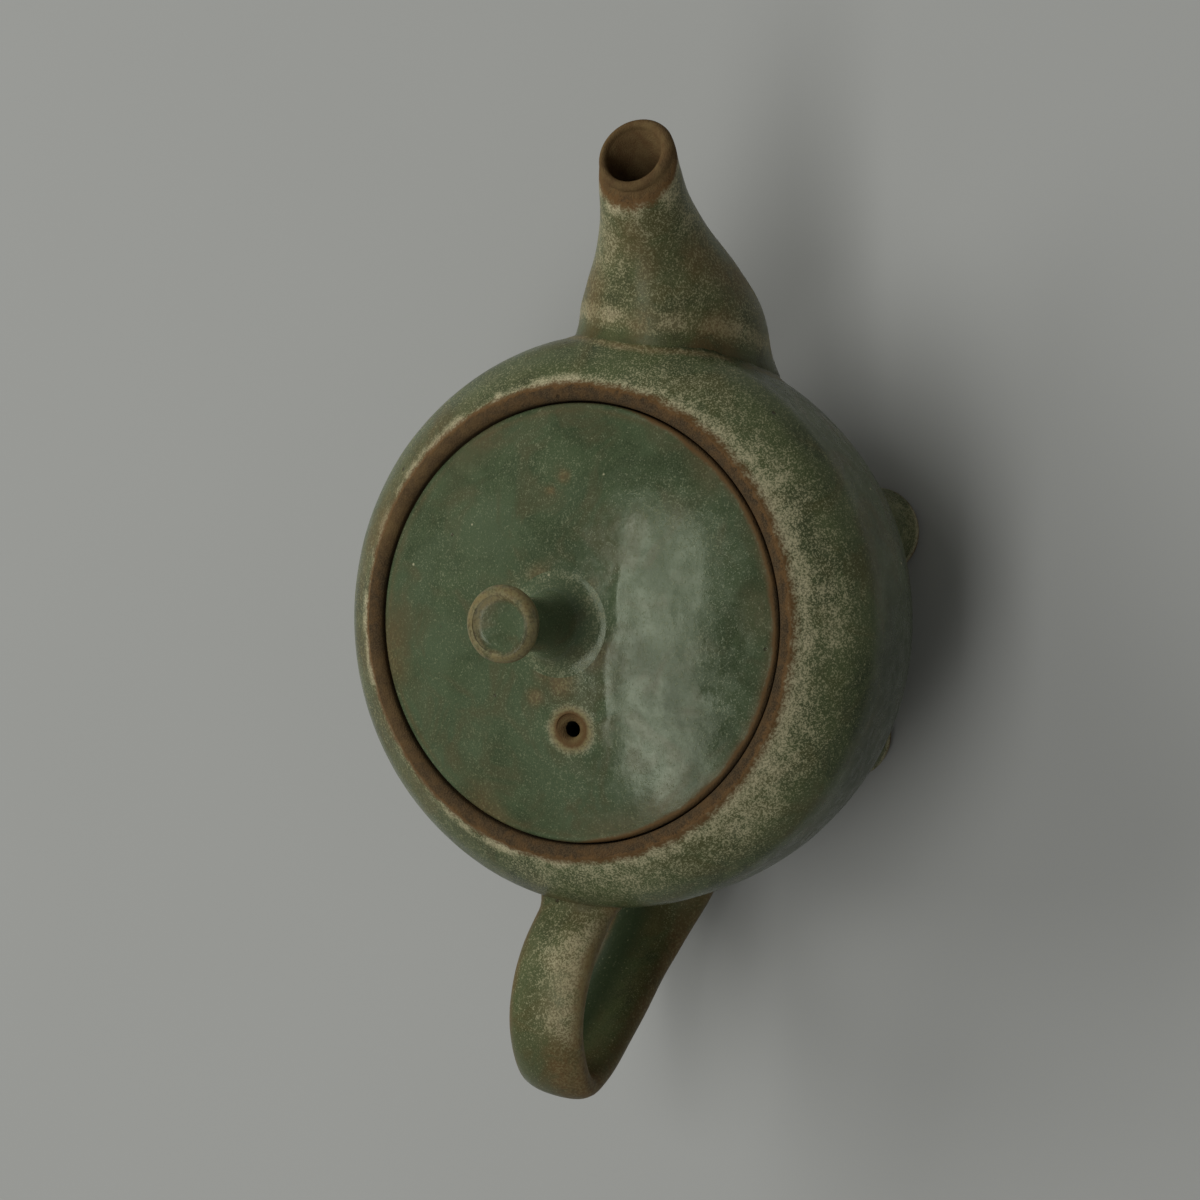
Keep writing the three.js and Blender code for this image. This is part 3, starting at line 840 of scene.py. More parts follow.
@dataclass
class PotBody:
    """The thrown pot: belly, shoulder, bare mouth ring, ledge for the lid and the inside."""

    radius: float = 45.0
    equator: float = 41.5
    rise: float = 21.2
    drop: float = 35.5
    fullness: float = 3.4
    wall: float = 3.5
    floor: float = 4.0
    mouth: float = 33.8
    ring_width: float = 2.8
    ring_rise: float = 0.9
    ledge_depth: float = 3.6
    ledge_width: float = 4.3
    ledge_thickness: float = 3.0
    round_off: float = 0.4
    unevenness: float = 0.13
    wide_wave: Wave = Wave(0.0, 0.7, 24.0, 3.1)
    small_wave: Wave = Wave(0.0, 0.3, 8.0, 7.7)
    throwing_ridge: float = 0.035
    ridge_pitch: float = 4.2
    joint_rise: float = 0.75
    joint_reach: float = 3.4
    glaze_overlap: float = 0.6
    # Inside, this far below the skin, the glaze has no marks and few crystals.
    marked_depth: float = 1.5
    inner_bloom: float = 0.25
    # Thin glaze: at the handle's roots, on the slip round the spout and below the far rim.
    thin_at_handle: float = 0.3
    handle_reach: Point = (4.0, 0.5)
    thin_at_spout: float = 0.6
    thin_line: Span = (1.2, 2.0, 2.4, 3.6)
    far_wave: Wave = Wave(0.35, 0.5, 9.0, 6.7)
    far_reach: Point = (9.0, 1.5)
    # Crystals: down the near shoulder, on the belly, in a line round the spout, fading low on the near
    # side as painted shade.
    spread_reach: Point = (18.0, 3.0)
    spread_wave: Wave = Wave(0.76, 0.4, 14.0, 8.8)
    belly_wave: Wave = Wave(0.42, 0.22, 13.0, 5.3)
    belly_shade_fade: float = 0.34
    belly_shade_reach: Point = (8.0, 14.0)
    line_bloom: float = 0.8
    bloom_line: Span = (1.4, 2.2, 2.6, 4.2)
    # Painted shade low on the near side, drawn as dark glaze; and dark pools against the spout.
    dark: float = 0.65
    near_shade_reach: Point = (13.0, 18.0)
    pool_wave: Wave = Wave(0.5, 0.3, 5.0, 4.1)
    pool_reach: Point = (1.5, 0.5)

    @property
    def ring_outer(self) -> float:
        """Outer radius of the mouth ring."""
        return self.mouth + self.ring_width

    @property
    def rim(self) -> float:
        """Height at which the shoulder meets the mouth ring."""
        return self.equator + self.rise * math.sqrt(1 - (self.ring_outer / self.radius) ** 2)

    @property
    def seat(self) -> float:
        """Height of the ledge that carries the lid."""
        return self.rim - self.ledge_depth

    @property
    def underside(self) -> float:
        """Height of the ledge's lower side."""
        return self.seat - self.ledge_thickness

    def belly(self, wide: float, drop: float, steps: int) -> list[Point]:
        """Section of the belly from the floor's centre to the widest line.

        Args:
            wide: radius at the widest line.
            drop: height of the belly below that line.
            steps: how many stretches it is cut into.

        Returns:
            The section's points.
        """
        power = 2 / self.fullness
        points = []
        for step in range(steps + 1):
            angle = math.pi / 2 * (step / steps)
            points.append((wide * math.sin(angle) ** power,
                           self.equator - drop * max(0.0, math.cos(angle)) ** power))
        return points

    def shoulder(self, wide: float, rise: float, end: float, steps: int) -> list[Point]:
        """Section of the shoulder from the widest line, that point left out, to an end radius."""
        last = math.degrees(math.acos(end / wide))
        return arc((0, self.equator), (wide, rise), 0, last, steps)[1:]

    def gap(self, point: Vector) -> float:
        """Measures how far a point lies outside the body's skin.

        Args:
            point: the point, in metres.

        Returns:
            The distance in millimetres, below 0 inside the skin.
        """
        x, y, z = in_mm(point)
        out = math.hypot(x, y)
        up = z - self.equator
        power, tall = (2.0, self.rise) if up > 0 else (self.fullness, self.drop)
        form = ((out / self.radius) ** power + (abs(up) / tall) ** power) ** (1 / power)
        return math.hypot(out, up) * (1 - 1 / form)

    def filled(self, depth: float) -> Piece:
        """Makes a solid of the body's outside that trims what is luted to it.

        Args:
            depth: how far it lies below the body's skin, in millimetres.

        Returns:
            The solid.
        """
        wide = self.radius - depth
        return throw("core", [
            *self.belly(wide, self.drop - depth, 40),
            *self.shoulder(wide, self.rise - depth, self.mouth, 14),
            (0.0, self.rim - depth),
        ])

    def section(self) -> list[Point]:
        """Draws the pot's section, out along the belly, over the ring and back inside to the floor.

        Returns:
            The section's points.
        """
        inner = self.radius - self.wall
        inner_rise = self.rise - self.wall
        inner_top = inner * math.sqrt(1 - ((self.underside - self.equator) / inner_rise) ** 2)
        outer = self.radius - self.unevenness
        ring_middle = (self.mouth + self.ring_width / 2, self.rim)
        bend = self.round_off
        ledge_radius = self.mouth - self.ledge_width + bend
        inside = [
            *self.belly(inner, self.drop - self.floor, 30),
            *self.shoulder(inner, inner_rise, inner_top, 10),
        ]
        return [
            *self.belly(outer, self.drop - self.unevenness, 52),
            *self.shoulder(outer, self.rise - self.unevenness, self.ring_outer, 30),
            *arc(ring_middle, (self.ring_width / 2, self.ring_rise), 60, 180, 14),
            (self.mouth, self.seat + bend),
            *arc((self.mouth - bend, self.seat + bend), (bend, bend), 0, -90, 3),
            *arc((ledge_radius, self.seat - bend), (bend, bend), 90, 180, 4),
            *arc((ledge_radius, self.underside + bend), (bend, bend), 180, 270, 4),
            *reversed(inside),
        ]

    def build(self, kiln: Kiln, strainer: "Strainer", spout: "Spout", handle: "Handle") -> Piece:
        """Throws, marks and dresses the pot.

        Args:
            kiln: what fires it.
            strainer: the thimble that its wall is cut for.
            spout: the spout, round whose root the glaze blooms.
            handle: the handle, round whose root the glaze thins.

        Returns:
            The piece.
        """
        piece = throw("pot", self.section(), BODY_SIDES)
        move_points(piece, lambda point, normal: self.hand_made(point, normal, spout))
        carve(piece, strainer.bore(self.radius))
        mark(piece, self.edge, lambda point, normal: self.thinned(point, spout, handle),
             lambda point, normal: self.bloom(point, spout))
        return kiln.fire(piece, Slot.POT, Body.POT, ["pot_base", "pot_body"])

    def hand_made(self, point: Vector, normal: Vector, spout: "Spout") -> Vector:
        """Gives the unevenness of a form thrown by hand, and the slip smeared up to the spout.

        Args:
            point: a place on the pot.
            normal: the way that its skin faces there.
            spout: the spout that the slip holds.

        Returns:
            How far the point moves, in metres.
        """
        x, y, z = in_mm(point)
        out = math.hypot(x, y)
        outside = ease(-1.2, -0.2, self.gap(point))
        away = ease(self.ring_outer + 0.5, self.ring_outer + 3, out) if z > self.equator else 1.0
        waves = self.unevenness * (self.wide_wave.at(point) + self.small_wave.at(point))
        ridges = self.throwing_ridge * math.sin(2 * math.pi * (z / self.ridge_pitch) + math.atan2(y, x))
        slip = smear(self.joint_rise, self.joint_reach, spout.gap(point))
        return normal * mm((waves + ridges) * outside * away + slip * outside)

    def edge(self, point: Vector, normal: Vector) -> float:
        """Measures the distance into the glaze from its edge at the mouth ring.

        Args:
            point: a place on the pot.
            normal: the way that its skin faces there; not used.

        Returns:
            The distance in millimetres, below 0 on bare clay.
        """
        x, y, z = in_mm(point)
        if z < self.underside - 0.5:
            return GLAZED
        out = math.hypot(x, y)
        return out - self.ring_outer + self.glaze_overlap * (1.5 - y / max(out, 1.0)) / 1.5

    def thinned(self, point: Vector, spout: "Spout", handle: "Handle") -> float:
        """Says where the glaze lies thin: at the spout, at the handle's roots and by the far rim.

        Args:
            point: a place on the pot.
            spout: the spout, at whose smeared slip the glaze breaks.
            handle: the handle.

        Returns:
            How thin the glaze lies, from 0 to 1.
        """
        if self.gap(point) < -self.marked_depth:
            return 0.0
        x, y, z = in_mm(point)
        near = 0.0
        for reach, height in (handle.route[0], handle.route[-2]):
            away = math.hypot(y * 0.8, z - self.equator - height) - handle.width / 2
            near = max(near, ease(*self.handle_reach, away) if x < 0 else 0.0)
        line = band(self.thin_line, spout.gap(point))
        out = math.hypot(x, y)
        down = math.hypot(out - self.ring_outer, z - self.rim)
        far = ease(0.1, 0.8, y / max(out, 1.0)) * ease(*self.far_reach, down) * self.far_wave.at(point)
        return min(1.0, self.thin_at_handle * near + self.thin_at_spout * line + far)

    def bloom(self, point: Vector, spout: "Spout") -> float:
        """Says where crystals stand: by the ring, down the near shoulder and round the spout.

        Args:
            point: a place on the pot.
            spout: the spout, at whose root the glaze pools dark.

        Returns:
            How thickly they stand, below 0 where the glaze pools dark against the spout, and low on the
            near side where painted shade is drawn.
        """
        if self.gap(point) < -self.marked_depth:
            return self.inner_bloom
        x, y, z = in_mm(point)
        out = math.hypot(x, y)
        near = 0.5 - 0.5 * y / max(out, 1.0)
        down = math.hypot(out - self.ring_outer, z - self.rim)
        ring = ease(2.5 + 4.0 * near, 0.6, down) * blend(0.6, 1.0, near)
        front = 1 - 0.3 * ease(0.5, 1.0, x / max(out, 1.0))
        spread = ease(0.08, 0.6, near) * front * ease(*self.spread_reach, down)
        spread *= self.spread_wave.at(point)
        root = spout.gap(point)
        line = self.line_bloom * band(self.bloom_line, root)
        rear = 1 - ease(0.15, 0.55, x / max(out, 1.0))
        # Painted shade: low on the near side, away from the spout, the crystals fade and the glaze is
        # drawn dark.
        belly = self.belly_wave.at(point) - self.belly_shade_fade * ease(*self.belly_shade_reach, down) * near * rear
        dark = self.dark * ease(*self.near_shade_reach, down) * near * blend(0.4, 1.0, rear)
        pool = ease(*self.pool_reach, root) * self.pool_wave.at(point)
        return min(1.0, max(belly, ring, spread, line)) * (1 - pool) - pool - dark


@dataclass
class Spout:
    """The hollow spout, wide where it is luted on and narrow at its bare lip."""

    body: PotBody
    root: Point = (-5.0, -13.5)
    root_pull: Point = (7.2, 2.2)
    tip: Point = (26.2, 12.7)
    tip_pull: Point = (-3.1, -0.5)
    buried: float = 12.0
    # Share of the length, radius there and how far the middle lies to the side.
    outline: tuple[tuple[float, float, float], ...] = (
        (0.0, 15.2, 0.0), (0.15, 15.2, -0.13), (0.3, 14.3, -0.5), (0.42, 11.9, -0.4),
        (0.54, 8.95, -0.1), (0.66, 7.2, -0.16), (0.78, 6.6, -0.45), (0.9, 6.28, -0.6), (1.0, 6.0, -0.4))
    root_wall: float = 3.5
    tip_wall: float = 1.6
    root_lean: float = 4.0
    tip_lean: float = 70.0
    lip_share: float = 0.8
    lip_steps: int = 8
    bare_lip: float = 1.5
    bore_aside: float = 0.45
    flare: float = 1.2
    flare_reach: float = 3.6
    wave: Wave = Wave(0.0, 0.16, 13.0, 9.1)
    # Thin glaze: everywhere a little, on the roll above the root, in streaks, at the lip.
    thin_all: float = 0.16
    thin_on_roll: float = 0.2
    thin_roll: Span = (2.0, 3.2, 4.2, 6.5)
    thin_in_streaks: float = 0.4
    streak_wave: Wave = Wave(0.0, 1.0, 10.0, 4.7)
    thin_lip_wave: Wave = Wave(0.7, 0.4, 3.0, 1.4)
    # Crystals: on the roll, below the lip and in patches. Dark pools lie against the body.
    bloom_roll: Span = (2.0, 3.2, 4.6, 7.0)
    roll_wave: Wave = Wave(0.85, 0.4, 6.0, 2.9)
    lip_reach: Point = (12.0, 1.5)
    lip_wave: Wave = Wave(0.62, 0.5, 3.5, 8.6)
    patch_wave: Wave = Wave(0.58, 0.28, 9.0, 2.2)
    pool_reach: Point = (2.2, 1.0)
    pool_wave: Wave = Wave(0.5, 0.3, 5.0, 4.1)
    # Below this distance from the glaze's edge lies the channel's clay.
    channel_edge: float = -2.9
    sides: int = 72
    steps: int = 46

    @cached_property
    def line(self) -> list[Vector]:
        """The middle line's points, one for each step."""
        return [self.middle(step / self.steps) for step in range(self.steps + 1)]

    @property
    def outward(self) -> Vector:
        """The way that the spout points at its tip."""
        lean = math.radians(self.tip_lean)
        return Vector((math.cos(lean), 0, math.sin(lean)))

    def middle(self, along: float) -> Vector:
        """Follows the spout's middle line, a cubic curve.

        Args:
            along: a share of its length.

        Returns:
            The point there, in metres.
        """
        back = 1 - along
        weights = (back ** 3, 3 * back * back * along, 3 * back * along * along, along ** 3)
        knots = (
            self.root,
            (self.root[0] + self.root_pull[0], self.root[1] + self.root_pull[1]),
            (self.tip[0] + self.tip_pull[0], self.tip[1] + self.tip_pull[1]),
            self.tip,
        )
        reach = sum(weight * knot[0] for weight, knot in zip(weights, knots))
        height = sum(weight * knot[1] for weight, knot in zip(weights, knots))
        return Vector((mm(self.body.radius + reach), mm(self.form(along)[1]),
                       mm(self.body.equator + height)))

    def form(self, along: float) -> Point:
        """Follows the outline smoothly.

        Args:
            along: a share of the spout's length.

        Returns:
            The radius and the sideways place there, in millimetres.
        """
        last = len(self.outline) - 1
        place = min(sum(knot[0] <= along for knot in self.outline), last)
        before, start, end, after = (
            self.outline[min(max(place + step, 0), last)] for step in (-2, -1, 0, 1))
        span = end[0] - start[0]
        share = (along - start[0]) / span
        radius, aside = (
            ease_curve(start[part], (end[part] - before[part]) / (end[0] - before[0]) * span,
                       end[part], (after[part] - start[part]) / (after[0] - start[0]) * span, share)
            for part in (1, 2))
        return radius, aside

    def share(self, point: Vector) -> float:
        """The share of the length whose middle lies nearest a point."""
        nearest = min(range(self.steps + 1), key=lambda step: (self.line[step] - point).length_squared)
        return nearest / self.steps

    def gap(self, point: Vector) -> float:
        """Measures how far a point lies outside the spout's hull.

        Args:
            point: the point, in metres.

        Returns:
            The distance in millimetres, and a long one for a point that isn't near.
        """
        far = point.x < mm(self.body.radius - self.buried) or abs(point.y) > mm(1.5 * self.outline[0][1])
        if far:
            return 99.0
        station = self.station(self.share(point), 0)
        return (point - station.middle).length / MM - station.across

    def station(self, along: float, inset: float) -> Station:
        """Sets one section of the spout.

        Args:
            along: a share of its length.
            inset: how far it is drawn in, as a share of the wall.

        Returns:
            The section.
        """
        radius = self.form(along)[0]
        wide, narrow = self.outline[0][1], self.outline[-1][1]
        wall = blend(self.tip_wall, self.root_wall, (radius - narrow) / (wide - narrow))
        lean = blend(self.root_lean, self.tip_lean, ease(0, 1, along))
        width = radius - inset * wall
        shift = Vector((0, mm(inset * self.bore_aside * along ** 2), 0))
        return Station(self.middle(along) + shift, lean, width, width)

    def side(self, inset: float) -> list[Station]:
        """Sets one side of the wall, drawn back at the tip by the height of the lip's rounding.

        Args:
            inset: 0 for the hull and 1 for the channel.

        Returns:
            Its sections from the buried end to the lip.
        """
        stations = [self.station(step / self.steps, inset) for step in range(self.steps + 1)]
        inward = Vector((mm(-self.buried), 0, 0))
        first = replace(stations[0], middle=stations[0].middle + inward)
        back = [self.outward * mm(self.tip_wall / 2) * ease(self.lip_share, 1, step / self.steps)
                for step in range(self.steps + 1)]
        return [first, *(replace(station, middle=station.middle - shift)
                         for station, shift in zip(stations, back))]

    def stations(self) -> list[Station]:
        """Sets all sections, out along the hull, round the lip and back down the channel.

        Returns:
            The sections.
        """
        half = self.tip_wall / 2
        tip, mouth = self.station(1.0, 0), self.station(1.0, 1)
        lip = []
        for step in range(1, self.lip_steps):
            angle = math.pi * step / self.lip_steps
            width = tip.across - half + half * math.cos(angle)
            middle = tip.middle.lerp(mouth.middle, 0.5 - 0.5 * math.cos(angle))
            middle = middle + self.outward * mm(half * math.sin(angle)) - self.outward * mm(half)
            lip.append(Station(middle, tip.lean, width, width))
        return [*self.side(0), *lip, *reversed(self.side(1))]

    def build(self, kiln: Kiln, core: Piece) -> Piece:
        """Pulls, lutes, marks and dresses the spout.

        Args:
            kiln: what fires it.
            core: the body's filled shape, which trims the root.

        Returns:
            The piece.
        """
        stations = self.stations()
        start = stations[0]
        pick_none()
        turn = (0.0, math.radians(90 - start.lean), 0.0)
        bpy.ops.mesh.primitive_circle_add(vertices=self.sides, radius=mm(start.across),
                                          location=start.middle, rotation=turn)
        piece = bpy.context.object
        name_piece(piece, "pouring_spout")
        settle(piece)
        pull(piece, stations)
        close_ends(piece, bridged=True)
        move_points(piece, self.luted)
        carve(piece, core, keep_cutter=True)
        mark(piece, self.edge, self.thinned, self.bloom)
        return kiln.fire(piece, Slot.POT, Body.POT, ["spout"])

    def inside(self, point: Vector, normal: Vector) -> bool:
        """Whether a point is on the channel's wall."""
        return (point - self.middle(self.share(point))).dot(normal) < 0

    def luted(self, point: Vector, normal: Vector) -> Vector:
        """Gives the flare where the root is smeared on to the body, and some unevenness above it.

        Args:
            point: a place on the spout.
            normal: the way that its skin faces there.

        Returns:
            How far the point moves, in metres.
        """
        if self.inside(point, normal):
            return Vector((0, 0, 0))
        gap = self.body.gap(point)
        slip = smear(self.flare, self.flare_reach, gap)
        away = ease(1.0, 5.0, gap) * ease(58.0, 50.0, point.z / MM)
        return normal * mm(slip + self.wave.at(point) * away)

    def edge(self, point: Vector, normal: Vector) -> float:
        """Measures the distance into the glaze from its edge below the lip.

        Args:
            point: a place on the spout.
            normal: the way that its skin faces there.

        Returns:
            The distance in millimetres, below 0 at the lip and further below deep in the channel, where
            painted shade is drawn.
        """
        below = (self.middle(1.0) - point).dot(self.outward) / MM
        # On the channel's wall the measure falls far below bare clay deep inside, which draws painted
        # shade there.
        if self.inside(point, normal):
            return BARE - ease(6.0, 22.0, below) * 5.0
        return below - self.bare_lip

    def thinned(self, point: Vector, normal: Vector) -> float:
        """Says where the glaze lies thin: in streaks, on the roll above the root and at the lip.

        Args:
            point: a place on the spout.
            normal: the way that its skin faces there.

        Returns:
            How thin the glaze lies, from 0 to 1.
        """
        roll = band(self.thin_roll, self.body.gap(point))
        streaks = ease(0.0, 0.5, self.streak_wave.at(Vector((point.x, point.y * 1.6, point.z))))
        edge = self.edge(point, normal)
        if edge < self.channel_edge:
            return 0.9
        lip = ease(0.6, -0.6, edge) * ease(self.channel_edge, self.channel_edge + 0.5, edge)
        lip *= self.thin_lip_wave.at(point)
        thin = self.thin_all + self.thin_on_roll * roll + self.thin_in_streaks * streaks
        return min(1.0, max(thin, lip))

    def bloom(self, point: Vector, normal: Vector) -> float:
        """Says where crystals stand: below the lip, above the root and in patches.

        Args:
            point: a place on the spout.
            normal: the way that its skin faces there.

        Returns:
            How thickly they stand, below 0 where the glaze pools dark.
        """
        gap = self.body.gap(point)
        roll = band(self.bloom_roll, gap) * self.roll_wave.at(point)
        lip = ease(*self.lip_reach, self.edge(point, normal)) * self.lip_wave.at(point)
        pool = ease(*self.pool_reach, gap) * self.pool_wave.at(point)
        return min(1.0, max(0.2, roll, lip, self.patch_wave.at(point))) * (1 - pool) - pool


@dataclass
class Handle:
    """The pulled strap handle, an ear-shaped loop that spreads where it is pressed on."""

    body: PotBody
    # The middle of the strap: how far out from the body's widest line, and how far above it.
    route: tuple[Point, ...] = (
        (-4.0, -3.5), (1.8, 0.3), (8.0, 4.9), (16.3, 6.4), (23.6, 3.7), (28.8, -1.6), (27.4, -6.8),
        (22.1, -13.8), (15.1, -21.3), (8.4, -27.6), (2.2, -30.2), (-4.0, -29.8), (-17.0, -24.0))
    low_knot: int = -5
    width: float = 12.6
    thickness: float = 5.5
    fullness: float = 0.86
    aside: float = -0.75
    top_spread: float = -0.7
    top_root: float = 9.0
    low_spread: float = 9.0
    low_root: float = 10.0
    low_start: float = 14.0
    spread_share: float = 0.25
    top_flare: Point = (0.9, 2.6)
    low_flare: Point = (1.6, 4.5)
    wave: Wave = Wave(0.0, 0.14, 9.0, 4.4)
    thinner: float = 0.05
    # Thin glaze: on the strap's edges, on its near side, and more so at its outer bend.
    edge_wave: Wave = Wave(0.75, 0.35, 6.0, 1.3)
    near_wave: Wave = Wave(0.75, 0.5, 7.0, 5.1)
    bend: Point = (-61.0, -70.0)
    # Crystals on the near half.
    crystal_wave: Wave = Wave(0.16, 0.36, 9.0, 6.1)
    sides: int = 64
    steps: int = 110
    stretches: int = 24

    def curve(self) -> list[Vector]:
        """Draws the strap's middle line, smooth through its route.

        Returns:
            Its points at even steps, in metres.
        """
        knots = [Vector((mm(-self.body.radius - reach), mm(self.aside), mm(self.body.equator + height)))
                 for reach, height in self.route]
        return even_steps(smooth_line(knots, self.stretches), self.steps)

    def stations(self) -> list[Station]:
        """Sets the strap's sections, wider and thicker at its low root.

        Returns:
            The sections.
        """
        line = self.curve()
        length = sum((b - a).length for a, b in pairwise(line)) / MM
        made = []
        for place, middle in enumerate(line):
            ahead = line[min(place + 1, self.steps)] - line[max(place - 1, 0)]
            lean = math.degrees(math.atan2(ahead.z, ahead.x))
            if made:
                lean = made[-1].lean + (lean - made[-1].lean + 180) % 360 - 180
            from_top = place / self.steps * length / self.top_root
            from_low = max(0.0, (1 - place / self.steps) * length - self.low_start) / self.low_root
            spread = (self.top_spread * math.exp(-from_top ** 2)
                      + self.low_spread * math.exp(-from_low ** 2))
            made.append(Station(middle, lean, self.width + spread,
                                self.thickness + spread * self.spread_share))
        return made

    def build(self, kiln: Kiln, core: Piece) -> Piece:
        """Pulls, lutes, marks and dresses the handle.

        Args:
            kiln: what fires it.
            core: the body's filled shape, which trims both ends.

        Returns:
            The piece.
        """
        stations = self.stations()
        start = stations[0]
        pick_none()
        bpy.ops.mesh.primitive_circle_add(vertices=self.sides, radius=1, location=start.middle,
                                          rotation=(0, math.radians(90 - start.lean), 0))
        piece = bpy.context.object
        name_piece(piece, "strap_handle")
        for vertex in piece.data.vertices:
            x, y, z = vertex.co
            vertex.co = (math.copysign(abs(x) ** self.fullness, x),
                         math.copysign(abs(y) ** self.fullness, y), z)
        piece.scale = (mm(start.through / 2), mm(start.across / 2), 1)
        settle(piece)
        pull(piece, stations)
        close_ends(piece, bridged=False)
        move_points(piece, self.luted)
        carve(piece, core, keep_cutter=True)
        mark(piece, even(GLAZED), self.thinned, self.bloom)
        return kiln.fire(piece, Slot.POT, Body.POT, ["handle"])

    def aside_of(self, point: Vector) -> float:
        """How far a point lies to the far side of the strap, as a share of its half width."""
        return (point.y / MM - self.aside) / (self.width / 2)

    def luted(self, point: Vector, normal: Vector) -> Vector:
        """Gives the flare at both roots, and the unevenness of a strap pulled by hand.

        Args:
            point: a place on the strap.
            normal: the way that its skin faces there.

        Returns:
            How far the point moves, in metres.
        """
        gap = self.body.gap(point)
        low = point.z < mm(self.body.equator + self.route[self.low_knot][1])
        slip = smear(*(self.low_flare if low else self.top_flare), gap)
        return normal * mm(slip + self.wave.at(point) * ease(1.0, 5.0, gap) - self.thinner)

    def thinned(self, point: Vector, normal: Vector) -> float:
        """Says where the glaze breaks brown: along the strap's edges and on its near side.

        Args:
            point: a place on the strap.
            normal: the way that its skin faces there; not used.

        Returns:
            How thin the glaze lies, from 0 to 1.
        """
        aside = self.aside_of(point)
        edges = 0.75 * ease(0.7, 0.98, abs(aside)) * self.edge_wave.at(point)
        high = ease(self.body.equator - 8, self.body.equator, point.z / MM)
        near = ease(0.2, -0.6, aside) * blend(0.45, 1.0, high)
        near *= (0.4 + 0.4 * ease(*self.bend, point.x / MM)) * self.near_wave.at(point)
        return min(1.0, 0.12 * high + edges + near)

    def bloom(self, point: Vector, normal: Vector) -> float:
        """Says where crystals stand: on the near half of the strap, most near its top root, and paints
        shade on the lower arm's inner face.

        Args:
            point: a place on the strap.
            normal: the way that its skin faces there.

        Returns:
            How thickly they stand, below 0 on the lower arm's inner face, which is drawn dark as painted
            shade.
        """
        near = 0.5 - 0.5 * self.aside_of(point)
        high = ease(self.body.equator - 7, self.body.equator + 1, point.z / MM)
        # Painted shade: the far half of the lower arm's upward inner face, under the upper arm, is drawn
        # dark.
        inner = ease(0.2, 0.7, normal.z) * (1 - high) * ease(0.9, 0.3, near)
        bend = 1 - 0.85 * ease(*self.bend, point.x / MM)
        crystals = max(0.1, self.crystal_wave.at(point) + 0.75 * near * blend(0.15, bend, high))
        return min(1.0, crystals) * (1 - inner) - 0.9 * inner


@dataclass
class Foot:
    """A stub foot, pressed on under the belly with its toe flat on the table."""

    body: PotBody
    along: float
    across: float
    toe_radius: float = 7.2
    toe_round: float = 1.8
    toe_trim: float = 0.5
    waist_radius: float = 7.2
    waist_height: float = 8.0
    waist_hollow: float = 0.12
    root_radius: float = 8.0
    length: float = 20.0
    splay: float = 6.0
    flare: float = 0.8
    flare_reach: float = 2.5
    wave: Wave = Wave(0.0, 0.15, 7.0, 8.2)
    bare_toe: float = 1.1
    thin: float = 0.05
    crystal_wave: Wave = Wave(0.5, 0.3, 8.0, 1.9)
    waist_steps: int = 8
    root_steps: int = 12
    sides: int = 48

    def section(self) -> list[Point]:
        """Draws the foot's section from the middle of its toe to the middle of its root.

        Returns:
            The section's points.
        """
        toe = (self.toe_radius - self.toe_round, self.toe_round - self.toe_trim)
        waist = [step / self.waist_steps for step in range(1, self.waist_steps + 1)]
        root = [step / self.root_steps for step in range(1, self.root_steps + 1)]
        return [
            (0.0, -self.toe_trim),
            *arc(toe, (self.toe_round, self.toe_round), -90, 0, 8),
            *[(blend(self.toe_radius, self.waist_radius, share)
               - self.waist_hollow * math.sin(math.pi * share),
               blend(toe[1], self.waist_height, share)) for share in waist],
            *[(blend(self.waist_radius, self.root_radius, share),
               blend(self.waist_height, self.length, share)) for share in root],
            (0.0, self.length),
        ]

    def build(self, kiln: Kiln, core: Piece, number: int) -> Piece:
        """Turns, sets, marks and dresses the foot.

        Args:
            kiln: what fires it.
            core: the body's filled shape, which trims the root.
            number: the foot's number.

        Returns:
            The piece.
        """
        piece = throw(f"stub_foot_{number}", self.section(), self.sides)
        place = Vector((mm(self.along), mm(self.across), 0))
        tilt = Vector((0, 0, 1)).cross(-place.normalized())
        piece.matrix_world = Matrix.Translation(place) @ Matrix.Rotation(
            math.radians(self.splay), 4, tilt.normalized())
        settle(piece)
        move_points(piece, self.luted)
        carve(piece, self.table())
        carve(piece, core, keep_cutter=True)
        mark(piece, lambda point, normal: point.z / MM - self.bare_toe, even(self.thin),
             lambda point, normal: self.crystal_wave.at(point))
        return kiln.fire(piece, Slot.POT, Body.POT, [f"foot_{number}"])

    def luted(self, point: Vector, normal: Vector) -> Vector:
        """Gives the flare at the root, and the unevenness of a stub rolled by hand.

        Args:
            point: a place on the foot.
            normal: the way that its skin faces there.

        Returns:
            How far the point moves, in metres.
        """
        slip = smear(self.flare, self.flare_reach, self.body.gap(point))
        return normal * mm(slip + self.wave.at(point) * ease(0.5, 3.0, point.z / MM))

    def table(self) -> Piece:
        """Makes the block that cuts the toe flat where it stands on the table.

        Returns:
            The block.
        """
        pick_none()
        place = (mm(self.along), mm(self.across), mm(-self.length / 2))
        bpy.ops.mesh.primitive_cube_add(size=mm(self.length), location=place)
        block = bpy.context.object
        settle(block)
        return block


